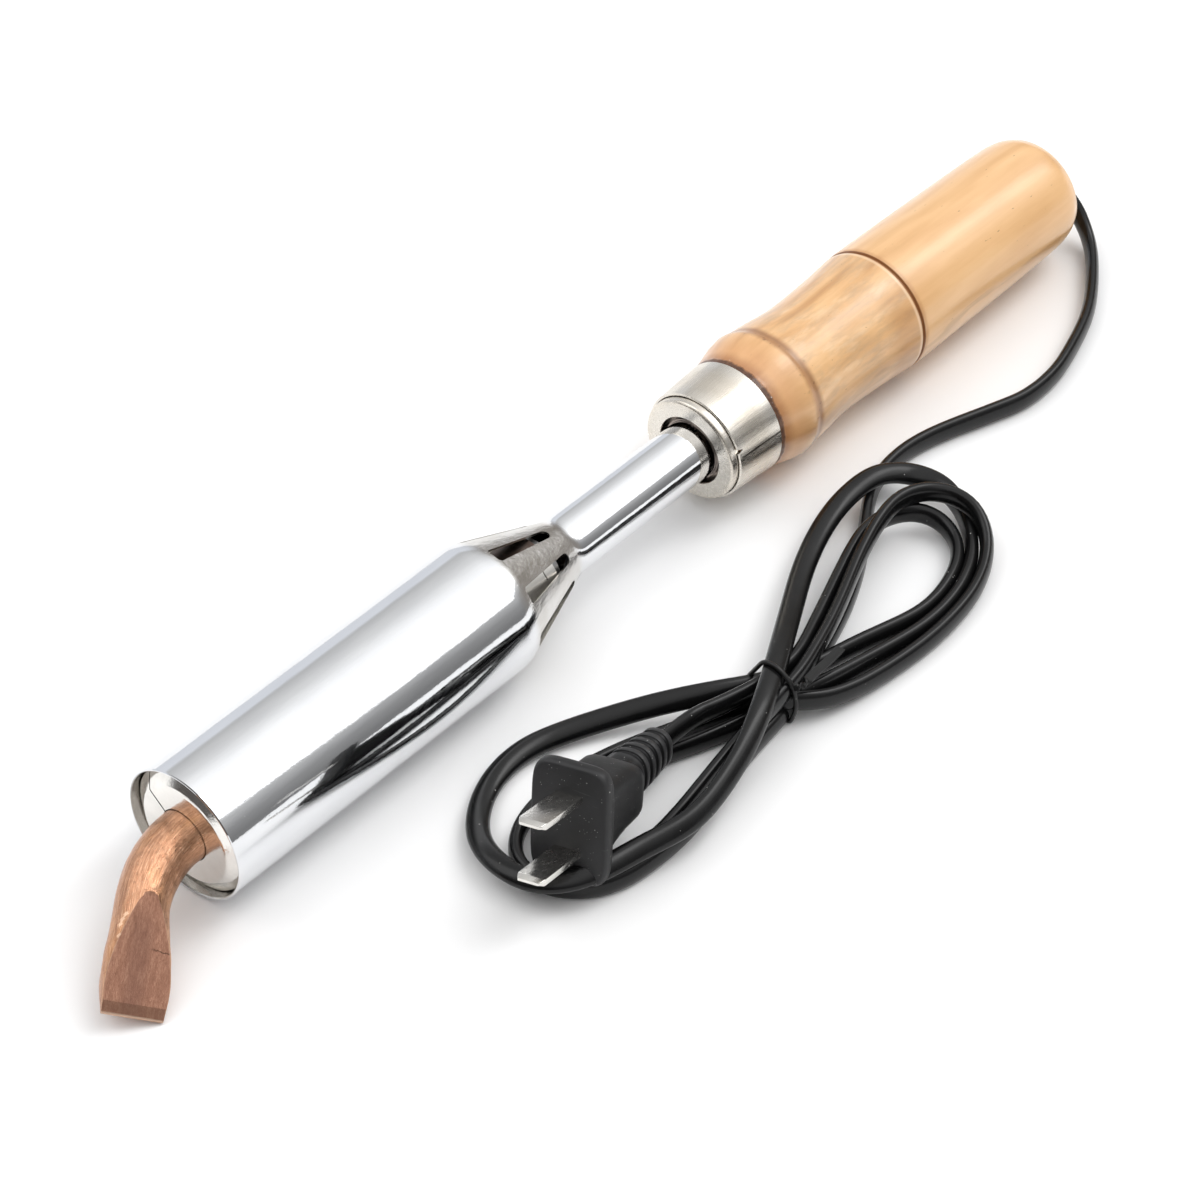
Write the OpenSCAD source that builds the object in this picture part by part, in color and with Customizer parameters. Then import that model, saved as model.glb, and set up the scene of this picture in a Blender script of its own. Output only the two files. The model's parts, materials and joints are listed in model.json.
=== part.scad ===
// Electric soldering iron: bent copper chisel bit in a plain metal barrel,
// slotted cone, slim neck, turned wooden handle with a ferrule, and a flat
// two core cord folded into a tied hank with a two pin plug.
// Millimetres. X runs from the bit to the handle, Z is up.

/* [Barrel] */
// outside diameter of the barrel
barrel_d = 32; // [31:0.5:32]
// length of the straight part of the barrel
barrel_len = 91; // [86:1:96]
// length of the slotted cone
cone_len = 25.5; // [24:0.5:28]
// outside diameter of the neck
neck_d = 14.3; // [14:0.1:14.5]
// visible length of the neck, cone to ferrule
neck_len = 44.4; // [36:0.2:52]
// thickness of the sheet metal
sheet_t = 0.6; // [0.5:0.05:0.7]
// number of vent slots round the cone
slot_count = 8; // [6:1:9]

/* [Bit] */
// diameter of the copper rod
bit_d = 12.5; // [11:0.1:12.5]
// length of the rod inside the heater tube
bit_inside = 70; // [60:1:74]
// angle of the bend
bend_angle = 44.5; // [20:0.5:48]
// radius of the bend at the middle of the rod
bend_r = 27; // [26:1:30]
// straight length after the bend
bit_tail = 21.7; // [18:0.1:21.8]
// thickness of the chisel where its end bevel starts
chisel_t = 2; // [1.6:0.1:2.6]
// largest width of the chisel
chisel_w = 15; // [13.5:0.1:15.5]

/* [Handle] */
// largest diameter of the bead behind the ferrule
bead_d = 32.6; // [32.6:0.1:32.9]
// diameter of the cord hole in the end of the handle
cord_hole_d = 7; // [6.8:0.1:8]

/* [Hidden] */
$fn = 96;
rb = barrel_d / 2;
rn = neck_d / 2;
rod = bit_d / 2;
fit = 0.05;                       // running fit of the rod in its tube
xc = barrel_len + cone_len;       // small end of the cone
xf = xc + neck_len;               // front face of the ferrule
dx = xf - 160.9;                  // shift of all that is behind the neck
axis_h = 16.3;                    // height of the axis above the bench
plane_a = 36;                     // roll of the bend below the horizontal
rj = 9.4;                         // outside of the heater jacket
handle_end = 291.2;
x_min = -39;
ox = -(x_min + handle_end + dx) / 2;
oy = 3.1;

// ---- cord route, heights from the bench ----
LEAD = [[291.2, 0, 16.3], [295, -0.5, 15.5], [298, -3, 12.5], [299, -7, 8.5],
  [298, -11, 5], [294.5, -15.5, 3], [287, -21.5, 2.6], [275, -29, 2.6],
  [262, -34, 2.6], [250, -37, 2.6], [239, -37, 2.6], [229, -34, 2.6],
  [219, -30.5, 2.6], [210, -28, 2.6], [202, -27.5, 2.6], [194, -30, 2.6]];
PLUG_P = [[125, -56, 11.4], [115, -56, 12.4], [105, -54, 11]];
HANK = [[124, -66], [114, -67.5], [102, -68.5], [90, -70], [78, -71.5],
  [66, -71.5], [54, -68], [46, -60.5], [42.5, -51], [44, -42], [49, -35],
  [57, -29], [66, -26], [75, -25.5], [85, -28.5], [94, -33.5], [103, -39.5],
  [112, -46], [119, -50.5], [125, -51.5], [132, -50], [142, -45],
  [154, -40.5], [166, -34.5], [177, -29], [187, -27], [196, -29],
  [201.5, -36], [203, -44], [201, -53], [195, -61], [186, -68],
  [174, -71.5], [163, -72.5], [153, -71.5], [144, -70], [135, -67.5]];
hank_h = 10.6;
cw = 1.6;                         // half thickness of the flat cord
ch = 2.6;                         // half width of the flat cord

// plug pose: middle of the face, turn and tilt
plug_at = [53.3, -58.2, 17.5];
plug_len = 40.6;

function unit(v) = v / norm(v);
function tang(P, i) = unit(P[min(i + 1, len(P) - 1)] - P[max(i - 1, 0)]);
function oval(c, t, a, b, n) =
  let (s = unit(cross(t, [0, 0, 1])), u = cross(s, t))
  [for (j = [0 : n - 1]) c + a * cos(360 * j / n) * s + b * sin(360 * j / n) * u];

// origin: under the middle of the iron, on the bench
module place() { translate([ox, oy, axis_h]) children(); }
// everything behind the neck moves with it
module rear() { place() translate([dx, 0, 0]) children(); }
// the same, with heights measured from the bench
module bench() { translate([ox + dx, oy, 0]) children(); }

// closed skin through a list of rings
module skin(R) {
  n = len(R[0]);
  m = len(R);
  polyhedron(points = [for (r = R) for (p = r) p],
    faces = concat([[for (j = [n - 1 : -1 : 0]) j]],
      [for (i = [0 : m - 2]) for (j = [0 : n - 1])
        [i * n + j, i * n + (j + 1) % n, (i + 1) * n + (j + 1) % n, (i + 1) * n + j]],
      [[for (j = [0 : n - 1]) (m - 1) * n + j]]), convexity = 6);
}
module tube(P, a, b, n) {
  skin([for (i = [0 : len(P) - 1]) oval(P[i], tang(P, i), a, b, n)]);
}
// round solid along X from a list of [x, r]
module turned(P) { rotate([0, 90, 0]) rotate_extrude() polygon([for (p = P) [p[1], p[0]]]); }
// plain pipe along X
module pipe(x0, x1, ro, ri) {
  translate([x0, 0, 0]) rotate([0, 90, 0]) difference() {
    cylinder(h = x1 - x0, r = ro);
    translate([0, 0, -1]) cylinder(h = x1 - x0 + 2, r = ri);
  }
}
// solid rod along X
module bar(x0, x1, r) { translate([x0, 0, 0]) rotate([0, 90, 0]) cylinder(h = x1 - x0, r = r); }

// ---- bit ----
q_dir = [0, -cos(plane_a), -sin(plane_a)];
b_dir = [0, -sin(plane_a), cos(plane_a)];
bend_arc = bend_r * bend_angle * PI / 180;
function bit_phi(s) = s < 0 ? max(0, bend_angle + s / bend_r * 180 / PI) : bend_angle;
function bit_t(s) = let (p = bit_phi(s)) [-cos(p), 0, 0] + sin(p) * q_dir;
function bit_m(s) = let (p = bit_phi(s)) [sin(p), 0, 0] + cos(p) * q_dir;
function bit_c(s) = let (p = bit_phi(s))
  bend_r * [-sin(p), 0, 0] + bend_r * (1 - cos(p)) * q_dir
    + (s > 0 ? s : min(0, s + bend_arc)) * bit_t(s);
function bit_w(s) = 0.9982 * bit_m(s) + 0.0593 * b_dir;
function bit_n(s) = -0.0593 * bit_m(s) + 0.9982 * b_dir;

// two long flats that meet in a thin edge; the upper one ends in a short bevel
flat_s = -3.7;                    // the flats start this far before the straight
tail_k = bit_tail / 21.7;
bevel_s = 19.1 * tail_k;
slope = (rod - chisel_t / 2) / (bevel_s - flat_s);
wide = (chisel_w / 2 - rod) / 1.25;
function top_h(s) = s <= bevel_s ? rod - slope * (s - flat_s)
  : chisel_t / 2 - (chisel_t / 2 + 0.1) * (s - bevel_s) / (bit_tail - bevel_s);
function low_h(s) = max(0.25, rod - slope * (s - flat_s));
// half width: a slight waist, then the hammered out end
function half_w(s) = rod + lookup(s < 0 ? s : s / tail_k,
  [[-16, 0], [-10, -0.05], [-3, -0.3], [0, -0.15], [3.2, 0.15 * wide], [8, 0.9 * wide],
   [13.7, 1.25 * wide], [17, 1.05 * wide], [19.1, 0.65 * wide], [21.7, 0.35 * wide]]);
// a quarter of the points each for right side, upper flat, left side, lower flat
function bit_ring(s) =
  let (k = 0.985, r = k * rod, b = k * half_w(s), u = top_h(s), l = low_h(s),
       au = asin(min(0.966, u / r)), al = asin(min(0.966, l / r)),
       from = [-al, au, 180 - au, 180 + al],
       span = [au + al, 180 - 2 * au, au + al, 180 - 2 * al])
  [for (j = [35 : -1 : 0]) let (q = floor(j / 9), a = from[q] + span[q] * (j - 9 * q) / 9)
    bit_c(s) + b * cos(a) * bit_w(s) + max(-l, min(u, r * sin(a))) * bit_n(s)];

module copper_bit() color("#c8703c") place() union() {
  bar(0, bit_inside, rod);
  skin([for (s = [-bend_arc - 4, for (i = [0 : 9]) -bend_arc + 0.6 + (bend_arc - 5.2) * i / 9,
    flat_s, -2.8, -1.8, -0.7, for (i = [0.5, 1.8, 3.2, 5, 6.6, 8, 10, 12, 13.7, 15.4, 17, 18.2, 19.1, 20.4, 21.7]) i * tail_k])
    bit_ring(s)]);
}

// ---- heater and casing ----
function arc(cx, cr, r, a0, a1, n) =
  [for (i = [0 : n]) let (a = a0 + (a1 - a0) * i / n) [cx + r * cos(a), cr + r * sin(a)]];
cone_a = atan((rb - rn) / cone_len);
sh_r = 14;                        // rounding of the shoulder
sh_x = barrel_len - sh_r * tan(cone_a / 2);
nr = 9;                           // hollow where the cone meets the neck
nx = xc + nr * tan(cone_a / 2);

module outer_shell() color("#d8dadc") place() difference() {
  turned(concat([[0.2, rb]],
    arc(sh_x, rb - sh_r, sh_r, 90, 90 - cone_a, 8),
    arc(nx, rn + nr, nr, 270 - cone_a, 270, 5),
    [[xf + 11, rn], [xf + 11, rn - sheet_t]],
    arc(nx, rn + nr, nr + sheet_t, 270, 270 - cone_a, 5),
    [for (i = [8 : -1 : 0]) let (a = 90 - cone_a * i / 8)
      [sh_x + (sh_r - sheet_t) * cos(a), rb - sh_r + (sh_r - sheet_t) * sin(a)]],
    [[0.2, rb - sheet_t], [0, rb - sheet_t + 0.2], [0, rb - 0.2]]));
  for (k = [0 : slot_count - 1]) rotate([97.4 + 360 / slot_count * k, 0, 0])
    translate([0, 4, 0]) rotate([-90, 0, 0]) linear_extrude(height = 20)
      polygon(concat([[barrel_len + 2.7, 2.1], [barrel_len + 2.1, 1.5], [barrel_len + 2.1, -1.5], [barrel_len + 2.7, -2.1]],
        [for (i = [0 : 8]) let (a = -90 + 22.5 * i)
          [barrel_len + 19.3 + 1.28 * cos(a), 1.28 * sin(a)]]));
  clamp_at() cylinder(h = 40, r = 2.4);
}

// the clamp screw comes in from the side, a little below the axis
module clamp_at() {
  translate([11, 0, 0]) rotate([-15, 0, 0]) rotate([-90, 0, 0]) children();
}

// a pressed cup: flat in the middle, then sloping back to a rim inside the barrel
module front_disc() color("#c9c8c4") place() difference() {
  turned(concat([[0.1, rod + 0.08]], arc(1.6, 11.3, 1.5, 180, 149, 4), arc(2.75, rb - 1.42, 0.7, 149, 90, 5),
    [[4.2, rb - 0.72], [4.2, rb - 1.34], [2.5, rb - 1.34], [0.95, 12.1], [0.7, 11.2], [0.7, rod + 0.08]]));
  translate([-0.5, 0, 0]) rotate([90, 0, 90]) linear_extrude(height = 2.9)
    polygon([[12.05, 11.1], [9.55, 6.97], [4.8, 2.8], [4.5, 3.05], [9.25, 7.22], [11.75, 11.3]]);
}

module clamp_collar() color("#8f9194") place() difference() {
  pipe(6, 16, rb - sheet_t - 0.1, 7.6);
  clamp_at() cylinder(h = 40, r = 2.05);
}

module clamp_screw() color("#b9bbbd") place() clamp_at() difference() {
  union() {
    translate([0, 0, rod + 0.35]) cylinder(h = rb + 0.35 - rod - 0.35, r = 2);
    translate([0, 0, rb + 0.3]) cylinder(h = 2.1, r = 3.4);
  }
  translate([-5, -0.4, rb + 1.3]) cube([10, 0.8, 3]);
}

module core_tube() color("#9a958c") place() difference() {
  pipe(4.6, barrel_len + 18, 7.5, rod + fit);
  clamp_at() cylinder(h = 40, r = 2.4);
}

module bit_stop() color("#77787a") place()
  bar(bit_inside + 0.2, bit_inside + 4, rod - 0.05);

module mica_inner() color("#c9b98f") place() pipe(20, barrel_len + 10, 8.15, 7.55);

turns = 22;
module heating_winding() color("#8d8a86") place()
  skin([for (i = [0 : turns * 16]) let (a = 22.5 * i, x = 24 + (barrel_len - 14.8) * i / turns / 16)
    [for (c = [[-0.75, 8.7], [0.75, 8.7], [0.75, 8.42], [-0.75, 8.42]])
      [x + c[0], c[1] * cos(a), c[1] * sin(a)]]]);

module mica_outer() color("#c9b98f") place() pipe(18, barrel_len + 11, 8.95, 8.75);

module heater_jacket() color("#b4b2ac") place() difference() {
  bar(16.6, barrel_len + 15.5, rj);
  bar(16, barrel_len + 15, rj - 0.4);
  bar(16, barrel_len + 20, 7.6);
  for (k = [-1, 1]) translate([barrel_len + 14, 8.3 * k, 0]) rotate([0, 90, 0])
    cylinder(h = 3, r = 0.6, $fn = 32);
}

module jacket_binding() color("#86888a") place()
  for (x = [30, 32, 60, 62])
    translate([x, 0, 0]) rotate([0, 90, 0]) rotate_extrude()
      translate([rj + 0.45, 0]) circle(r = 0.4, $fn = 16);

module rear_spacer() color("#e4e0d6") place() pipe(barrel_len - 7, barrel_len - 3, rb - sheet_t - 0.1, rj + 0.1);

// two wires from the winding back through the neck
function lead_p(k) = [[barrel_len + 10.2, k * 8.35, 0], [barrel_len + 15, k * 8.35, 0],
  [barrel_len + 18, k * 8.3, 0], [xc - 5.5, k * 6.8, 0], [xc - 3, k * 4.4, 0], [xc + 1, k * 2.4, 0],
  [xc + 5, k * 2.3, 0], [xf - 10, k * 2.3, 0], [xf + 12, k * 2.3, 0],
  [xf + 18, k * 3, 0], [xf + 27.4, k * 3, 0]];
module lead_a() color("#a7a7a5") place() tube(lead_p(1), 0.35, 0.35, 8);
module lead_b() color("#a7a7a5") place() tube(lead_p(-1), 0.35, 0.35, 8);

module ceramic_beads() color("#eeeae0") place()
  for (k = [-1, 1]) for (i = [0 : floor((neck_len + 2) / 4) - 1])
    translate([xc + 7 + 4 * i, k * 2.3, 0]) rotate([0, 90, 0])
      difference() {
        cylinder(h = 3.8, r = 1.7, $fn = 32);
        translate([0, 0, -1]) cylinder(h = 6, r = 0.55, $fn = 24);
      }

// ---- ferrule ----
module neck_collar() color("#dcdcda") rear() pipe(161.9, 163, 7.6, rn + 0.05);

module neck_flange() color("#9c9d9e") rear() difference() {
  pipe(163.1, 163.9, 12.5, rn + 0.05);
  for (k = [0 : 2]) rotate([90 + 120 * k, 0, 0]) translate([162, 10.4, 0])
    rotate([0, 90, 0]) cylinder(h = 3, r = 1.15);
}

module flange_screws() color("#b9b9b4") rear()
  for (k = [0 : 2]) rotate([90 + 120 * k, 0, 0]) translate([0, 10.4, 0]) union() {
    bar(162.3, 163.05, 1.7);
    bar(163, 171, 1);
  }

module ferrule_cap() color("#c3c1bb") rear()
  turned(concat([[160.9, 8.7], [160.9, 12]],
    arc(161.7, 12, 0.8, 180, 90, 5), [[163.8, 12.8], [163.8, 12.55]],
    [[162.2, 12.55], [161.4, 12], [161.4, 8.7]]));

module ferrule_band() color("#c3c1bb") rear() difference() {
  turned([[163, 13.15], [163.15, 13.5], [176.4, 14.3], [176.4, 13.8], [163, 13]]);
  rotate([158, 0, 0]) translate([162, 12, 0]) rotate([-90, 0, 0])
    linear_extrude(height = 4) polygon([[0, 0.9], [0, -0.9], [2.6, 0]]);
}

WOOD = [[164, 12.9], [176.3, 13.68], [176.5, 14.35], [178.5, 14.45], [181, 15.1],
  [184, 15.9], [186.5, bead_d / 2], [188.3, 15.95], [190, 15.85], [195, 15.4],
  [202, 14.7], [210, 14.85], [218, 15.2], [226.5, 15.9], [226.7, 15.3],
  [227.4, 15.3], [227.6, 16], [240, 15.85], [256, 15.6], [272, 15.3],
  [284, 14.95], [287, 14.55], [289, 13.95], [290.4, 13.2], [291.2, 12.2]];
module handle() color("#d9914f") rear() difference() {
  turned(concat(WOOD, [[291.2, cord_hole_d / 2 + 0.6], [290.6, cord_hole_d / 2],
    [236, cord_hole_d / 2], [236, 8], [164, 8]]));
  for (k = [0 : 2]) rotate([90 + 120 * k, 0, 0]) translate([0, 10.4, 0]) bar(163, 171.5, 1.05);
}

// ---- wiring in the handle ----
module terminal_block() color("#ded8c8") rear() difference() {
  translate([187, -6, -4.5]) cube([14, 12, 9]);
  for (k = [-1, 1]) {
    translate([0, 3 * k, 0]) bar(186, 202, 1.25);
    for (x = [190.5, 197.5]) translate([x, 3 * k, 0]) cylinder(h = 6, r = 1.35);
  }
}
module terminal_screws() color("#c9a860") rear()
  for (k = [-1, 1]) for (x = [190.5, 197.5]) translate([x, 3 * k, 1.3]) difference() {
    cylinder(h = 3, r = 1.3);
    translate([-2, -0.2, 2.3]) cube([4, 0.4, 2]);
  }
module live_core() color("#b5512e") rear()
  tube([[196, 3, 0], [201.5, 3, 0], [206, 2.4, 0.5], [210, 0.6, 1.1], [213.9, 0, 1.2]], 0.75, 0.75, 8);
module neutral_core() color("#3f6fa8") rear()
  tube([[196, -3, 0], [201.5, -3, 0], [206, -2.4, -0.5], [210, -0.6, -1.1], [213.9, 0, -1.2]], 0.75, 0.75, 8);
module cord_inner() color("#1d1d1e") rear()
  tube([[214, 0, 0], [240, 0, 0], [265, 0, 0], [291.2, 0, 0]], cw, ch, 10);
module cord_clip() color("#55585c") rear() difference() {
  translate([219, -3.1, -6.6]) cube([8, 6.2, 13.2]);
  translate([218, -cw, -ch]) cube([10, 2 * cw, 2 * ch]);
  translate([218, -0.4, -7]) cube([10, 0.8, 14]);
  for (z = [-4.7, 4.7]) translate([223, -4, z]) rotate([-90, 0, 0]) cylinder(h = 8, r = 1.05);
}
module clip_screws() color("#b9bbbd") rear()
  for (z = [-4.7, 4.7]) translate([223, 0, z]) rotate([90, 0, 0]) union() {
    translate([0, 0, -3.1]) cylinder(h = 6.25, r = 1);
    translate([0, 0, 3.15]) cylinder(h = 1.1, r = 1.8);
  }

// ---- cord ----
module cord_lead() color("#1d1d1e") bench() tube(LEAD, cw, ch, 10);
module tie_ring(o, e = 0) {
  translate([118.9 - e, -58.6, 7.6]) rotate([90, 0, 90]) linear_extrude(height = 3 + 2 * e)
    hull() for (y = [-4.6, 4.6]) for (z = [-4.6, 4.6])
      translate([y, z]) circle(r = 3 - o, $fn = 32);
}
module cord_hank() color("#1d1d1e") bench() difference() {
  linear_extrude(height = hank_h) polygon(HANK);
  difference() {
    translate([118.85, -80, -1]) cube([3.1, 40, 20]);
    tie_ring(0.75, 1);
  }
  plug_pose() for (b = [[-0.3, 3.6, 9.4, 14], [3.2, 8.3, 8.7, 9.2], [8, 13.3, 8, 8.5],
      [13, 19.8, 7.6, 7.8], [19.6, 25.3, 7.3, 7], [25, 41, 5.3, 5.7]])
    translate([b[0], -b[2], -b[3]]) cube([b[1] - b[0], 2 * b[2], 2 * b[3] + 10]);
}
module cord_tie() color("#151515") bench() union() {
  difference() {
    tie_ring(0);
    tie_ring(0.7, 1);
  }
  translate([120.6, -63, 14.7]) rotate([0, 10, 6]) translate([0, -1.2, -0.4]) cube([18, 2.4, 0.8]);
}
module cord_plug_lead() color("#1d1d1e") bench()
  tube(concat(PLUG_P, [for (u = [plug_len + 4, plug_len - 1, 32, 23.2]) plug_pt(u)]), cw, ch, 10);

// ---- plug: x from the face to the boot, y blade width, z blade spacing ----
plug_turn = 192;
plug_tilt = 15.66;
plug_roll = -6.5;
function plug_pt(u) = plug_at + u * [cos(plug_tilt) * cos(plug_turn - 180),
  cos(plug_tilt) * sin(plug_turn - 180), -sin(plug_tilt)];
module plug_pose() {
  translate(plug_at) rotate([0, 0, plug_turn - 180]) rotate([0, plug_tilt, 0])
    rotate([plug_roll, 0, 0]) children();
}
// x, half width, half height, squareness
PLUG = [[0, 8.3, 12.9, 0.36], [0.6, 8.9, 13.5, 0.36], [1.2, 9, 13.6, 0.36],
  [2.6, 9, 13.6, 0.36], [3.2, 8.7, 13.3, 0.36], [3.3, 8.3, 8.6, 0.4],
  [8, 7.5, 7.9, 0.42], [13, 7, 7.2, 0.42], [17.5, 7.1, 6.7, 0.42], [19.5, 7, 6.4, 0.42],
  [21, 6.4, 5.8, 0.5], [22, 5.4, 5.1, 0.65], [23, 4.8, 5, 0.8], [25, 4.8, 5.1, 0.8], [25.2, 4.3, 4.9, 0.8], [26.8, 4.2, 4.8, 0.8], [27, 4.8, 5.2, 0.8],
  [29, 4.7, 5.1, 0.8], [29.2, 4, 4.6, 0.8], [30.6, 3.9, 4.5, 0.8], [30.8, 4.4, 4.9, 0.8],
  [32.8, 4.3, 4.8, 0.8], [33, 3.6, 4.3, 0.8], [34.4, 3.5, 4.2, 0.8],
  [34.6, 4, 4.6, 0.8], [36.6, 3.9, 4.5, 0.8], [36.8, 3.3, 4, 0.8],
  [38.2, 3.2, 3.9, 0.8], [38.4, 3.6, 4.3, 0.8], [40.2, 3.5, 4.2, 0.8], [40.6, 3.1, 3.9, 0.8]];
function sgnpow(v, p) = sign(v) * pow(abs(v), p);
module plug_body() color("#1b1b1c") bench() plug_pose() difference() {
  skin([for (p = PLUG) [for (j = [0 : 31]) let (a = -360 * (j + 0.5) / 32)
    [p[0], p[1] * sgnpow(cos(a), p[3]), p[2] * sgnpow(sin(a), p[3])]]]);
  translate([0.8, -4.1, -9.4]) cube([2.2, 8.2, 18.8]);
  translate([0.8, -4.1, -7.15]) cube([6.8, 8.2, 14.3]);
  for (k = [-1, 1]) translate([-1, -3.175, 6.35 * k - 0.75]) cube([8, 6.35, 1.5]);
  rotate([90, 0, 0]) translate([0, 0, -1.7]) linear_extrude(height = 3.4)
    polygon([[7.5, -6.9], [7.5, 6.9], [11, 6.3], [16, 4.6], [23, ch + 0.05], [41.5, ch + 0.05],
      [41.5, -ch - 0.05], [23, -ch - 0.05], [16, -4.6], [11, -6.3]]);
}
module plug_bridge() color("#4a4b4d") bench() plug_pose() difference() {
  union() {
    translate([0.9, -4, -9.3]) cube([2, 8, 18.6]);
    translate([0.9, -4, -7.1]) cube([6.6, 8, 14.2]);
  }
  for (k = [-1, 1]) translate([-1, -3.2, 6.35 * k - 0.78]) cube([12, 6.4, 1.56]);
}
module blade(k) {
  bench() plug_pose() translate([0, 0, 6.35 * k]) difference() {
    rotate([90, 0, 0]) translate([0, 0, -3.175]) linear_extrude(height = 6.35)
      polygon([[-17, -0.3], [-17, 0.3], [-15.6, 0.75], [7.2, 0.75], [7.2, -0.75], [-15.6, -0.75]]);
    for (m = [-1, 1]) translate([-17, 3.175 * m, 0]) rotate([0, 0, 45]) cube([1.5, 1.5, 4], center = true);
  }
}
module plug_blade_live() color("#cfcdc6") blade(1);
module plug_blade_neutral() color("#cfcdc6") blade(-1);
module plug_core_live() color("#b5512e") bench() plug_pose()
  tube([[7.35, 0, 6], [8.5, 0, 6], [11, 0, 5.4], [16, 0, 3.4], [23, 0, 1.2]], 0.75, 0.75, 8);
module plug_core_neutral() color("#3f6fa8") bench() plug_pose()
  tube([[7.35, 0, -6], [8.5, 0, -6], [11, 0, -5.4], [16, 0, -3.4], [23, 0, -1.2]], 0.75, 0.75, 8);

copper_bit();
outer_shell();
front_disc();
clamp_collar();
clamp_screw();
core_tube();
bit_stop();
mica_inner();
heating_winding();
mica_outer();
heater_jacket();
jacket_binding();
rear_spacer();
ceramic_beads();
lead_a();
lead_b();
neck_collar();
neck_flange();
flange_screws();
ferrule_cap();
ferrule_band();
handle();
terminal_block();
terminal_screws();
live_core();
neutral_core();
cord_inner();
cord_clip();
clip_screws();
cord_lead();
cord_hank();
cord_tie();
cord_plug_lead();
plug_body();
plug_bridge();
plug_blade_live();
plug_blade_neutral();
plug_core_live();
plug_core_neutral();
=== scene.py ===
import bpy, bmesh, json, math
import numpy as np
from mathutils import Vector, Matrix


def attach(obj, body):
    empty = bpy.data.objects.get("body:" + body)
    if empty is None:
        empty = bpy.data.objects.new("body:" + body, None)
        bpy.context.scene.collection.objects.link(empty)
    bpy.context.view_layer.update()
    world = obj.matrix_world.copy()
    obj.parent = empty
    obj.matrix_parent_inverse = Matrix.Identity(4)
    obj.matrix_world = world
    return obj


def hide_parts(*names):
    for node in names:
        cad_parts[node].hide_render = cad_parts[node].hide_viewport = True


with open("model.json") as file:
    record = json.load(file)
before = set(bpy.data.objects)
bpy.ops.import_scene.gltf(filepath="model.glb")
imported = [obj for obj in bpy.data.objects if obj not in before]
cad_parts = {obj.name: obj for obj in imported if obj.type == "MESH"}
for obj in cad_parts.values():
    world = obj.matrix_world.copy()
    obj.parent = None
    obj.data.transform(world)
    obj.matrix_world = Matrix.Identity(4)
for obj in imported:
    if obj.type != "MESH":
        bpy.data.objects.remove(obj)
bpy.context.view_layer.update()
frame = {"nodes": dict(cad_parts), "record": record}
scene = bpy.context.scene
scene.view_settings.view_transform = "Standard"

# ---------------------------------------------------------------- frame
OX, OY, H = -126.1, 3.1, 16.3          # lip of the barrel, axis, bench height, in mm


def A(p):
    """mm from the barrel's lip and axis, to the row frame in metres"""
    p = np.asarray(p, float)
    return (p + np.array([OX, OY, H])) / 1000.0


def G(p):
    """the same with heights from the bench"""
    p = np.asarray(p, float)
    return (p + np.array([OX, OY, 0.0])) / 1000.0


# ---------------------------------------------------------------- camera
cam_d = bpy.data.cameras.new("camera")
cam = bpy.data.objects.new("camera", cam_d)
scene.collection.objects.link(cam)
scene.camera = cam
yaw, pitch = math.radians(48.962), math.radians(42.589)
fw = Vector((math.cos(pitch) * math.sin(yaw) * 0 + 0.5555, 0.4834, -0.6767)).normalized()
rt = fw.cross(Vector((0, 0, 1))).normalized()
up = rt.cross(fw).normalized()
M = Matrix((rt, up, -fw)).transposed().to_4x4()
M.translation = Vector(A((-408.97, -469.14, 632.11)))
cam.matrix_world = M
cam_d.sensor_width = 36.0
cam_d.sensor_fit = "HORIZONTAL"
cam_d.lens = 36.0 * 4294.16 / 1200.0
cam_d.clip_start = 0.05
cam_d.clip_end = 20.0


# ---------------------------------------------------------------- mesh helpers
def link(o):
    scene.collection.objects.link(o)
    return o


def sharpen(me, deg=38.0):
    bm = bmesh.new()
    bm.from_mesh(me)
    bmesh.ops.recalc_face_normals(bm, faces=bm.faces[:])
    lim = math.radians(deg)
    for f in bm.faces:
        f.smooth = True
    for e in bm.edges:
        e.smooth = not (len(e.link_faces) == 2 and e.calc_face_angle(0.0) > lim)
    bm.to_mesh(me)
    bm.free()


def mesh(name, verts, faces, deg=38.0):
    me = bpy.data.meshes.new(name)
    me.from_pydata([tuple(map(float, v)) for v in verts], [], faces)
    me.validate()
    sharpen(me, deg)
    return link(bpy.data.objects.new(name, me))


def loft(name, rings, caps=True, deg=38.0, closed=False):
    """skin through rings of equal size"""
    rings = [np.asarray(r) for r in rings]
    n, m = len(rings[0]), len(rings)
    V = np.concatenate(rings)
    F = []
    for i in range(m if closed else m - 1):
        a, b = i * n, ((i + 1) % m) * n
        for j in range(n):
            k = (j + 1) % n
            F.append((a + j, a + k, b + k, b + j))
    if caps and not closed:
        F.append(tuple(range(n - 1, -1, -1)))
        F.append(tuple((m - 1) * n + j for j in range(n)))
    return mesh(name, V, F, deg)


def lathe(name, prof, seg=192, deg=38.0, wob=None):
    """closed profile of (x, r) turned about the iron's axis"""
    P = np.asarray(prof, float)
    a = np.linspace(0, 2 * math.pi, seg, endpoint=False)
    V = []
    for x, r in P:
        rr = np.full(seg, r)
        if wob is not None:
            rr = rr + wob(x, r, a)
        V.append(np.stack([np.full(seg, x), rr * np.cos(a), rr * np.sin(a)], 1))
    m = len(P)
    V = A(np.concatenate(V))
    F = []
    for i in range(m):
        k = (i + 1) % m
        for j in range(seg):
            l = (j + 1) % seg
            F.append((i * seg + j, i * seg + l, k * seg + l, k * seg + j))
    return mesh(name, V, F, deg)


def unit(v):
    v = np.asarray(v, float)
    return v / np.linalg.norm(v)


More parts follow.
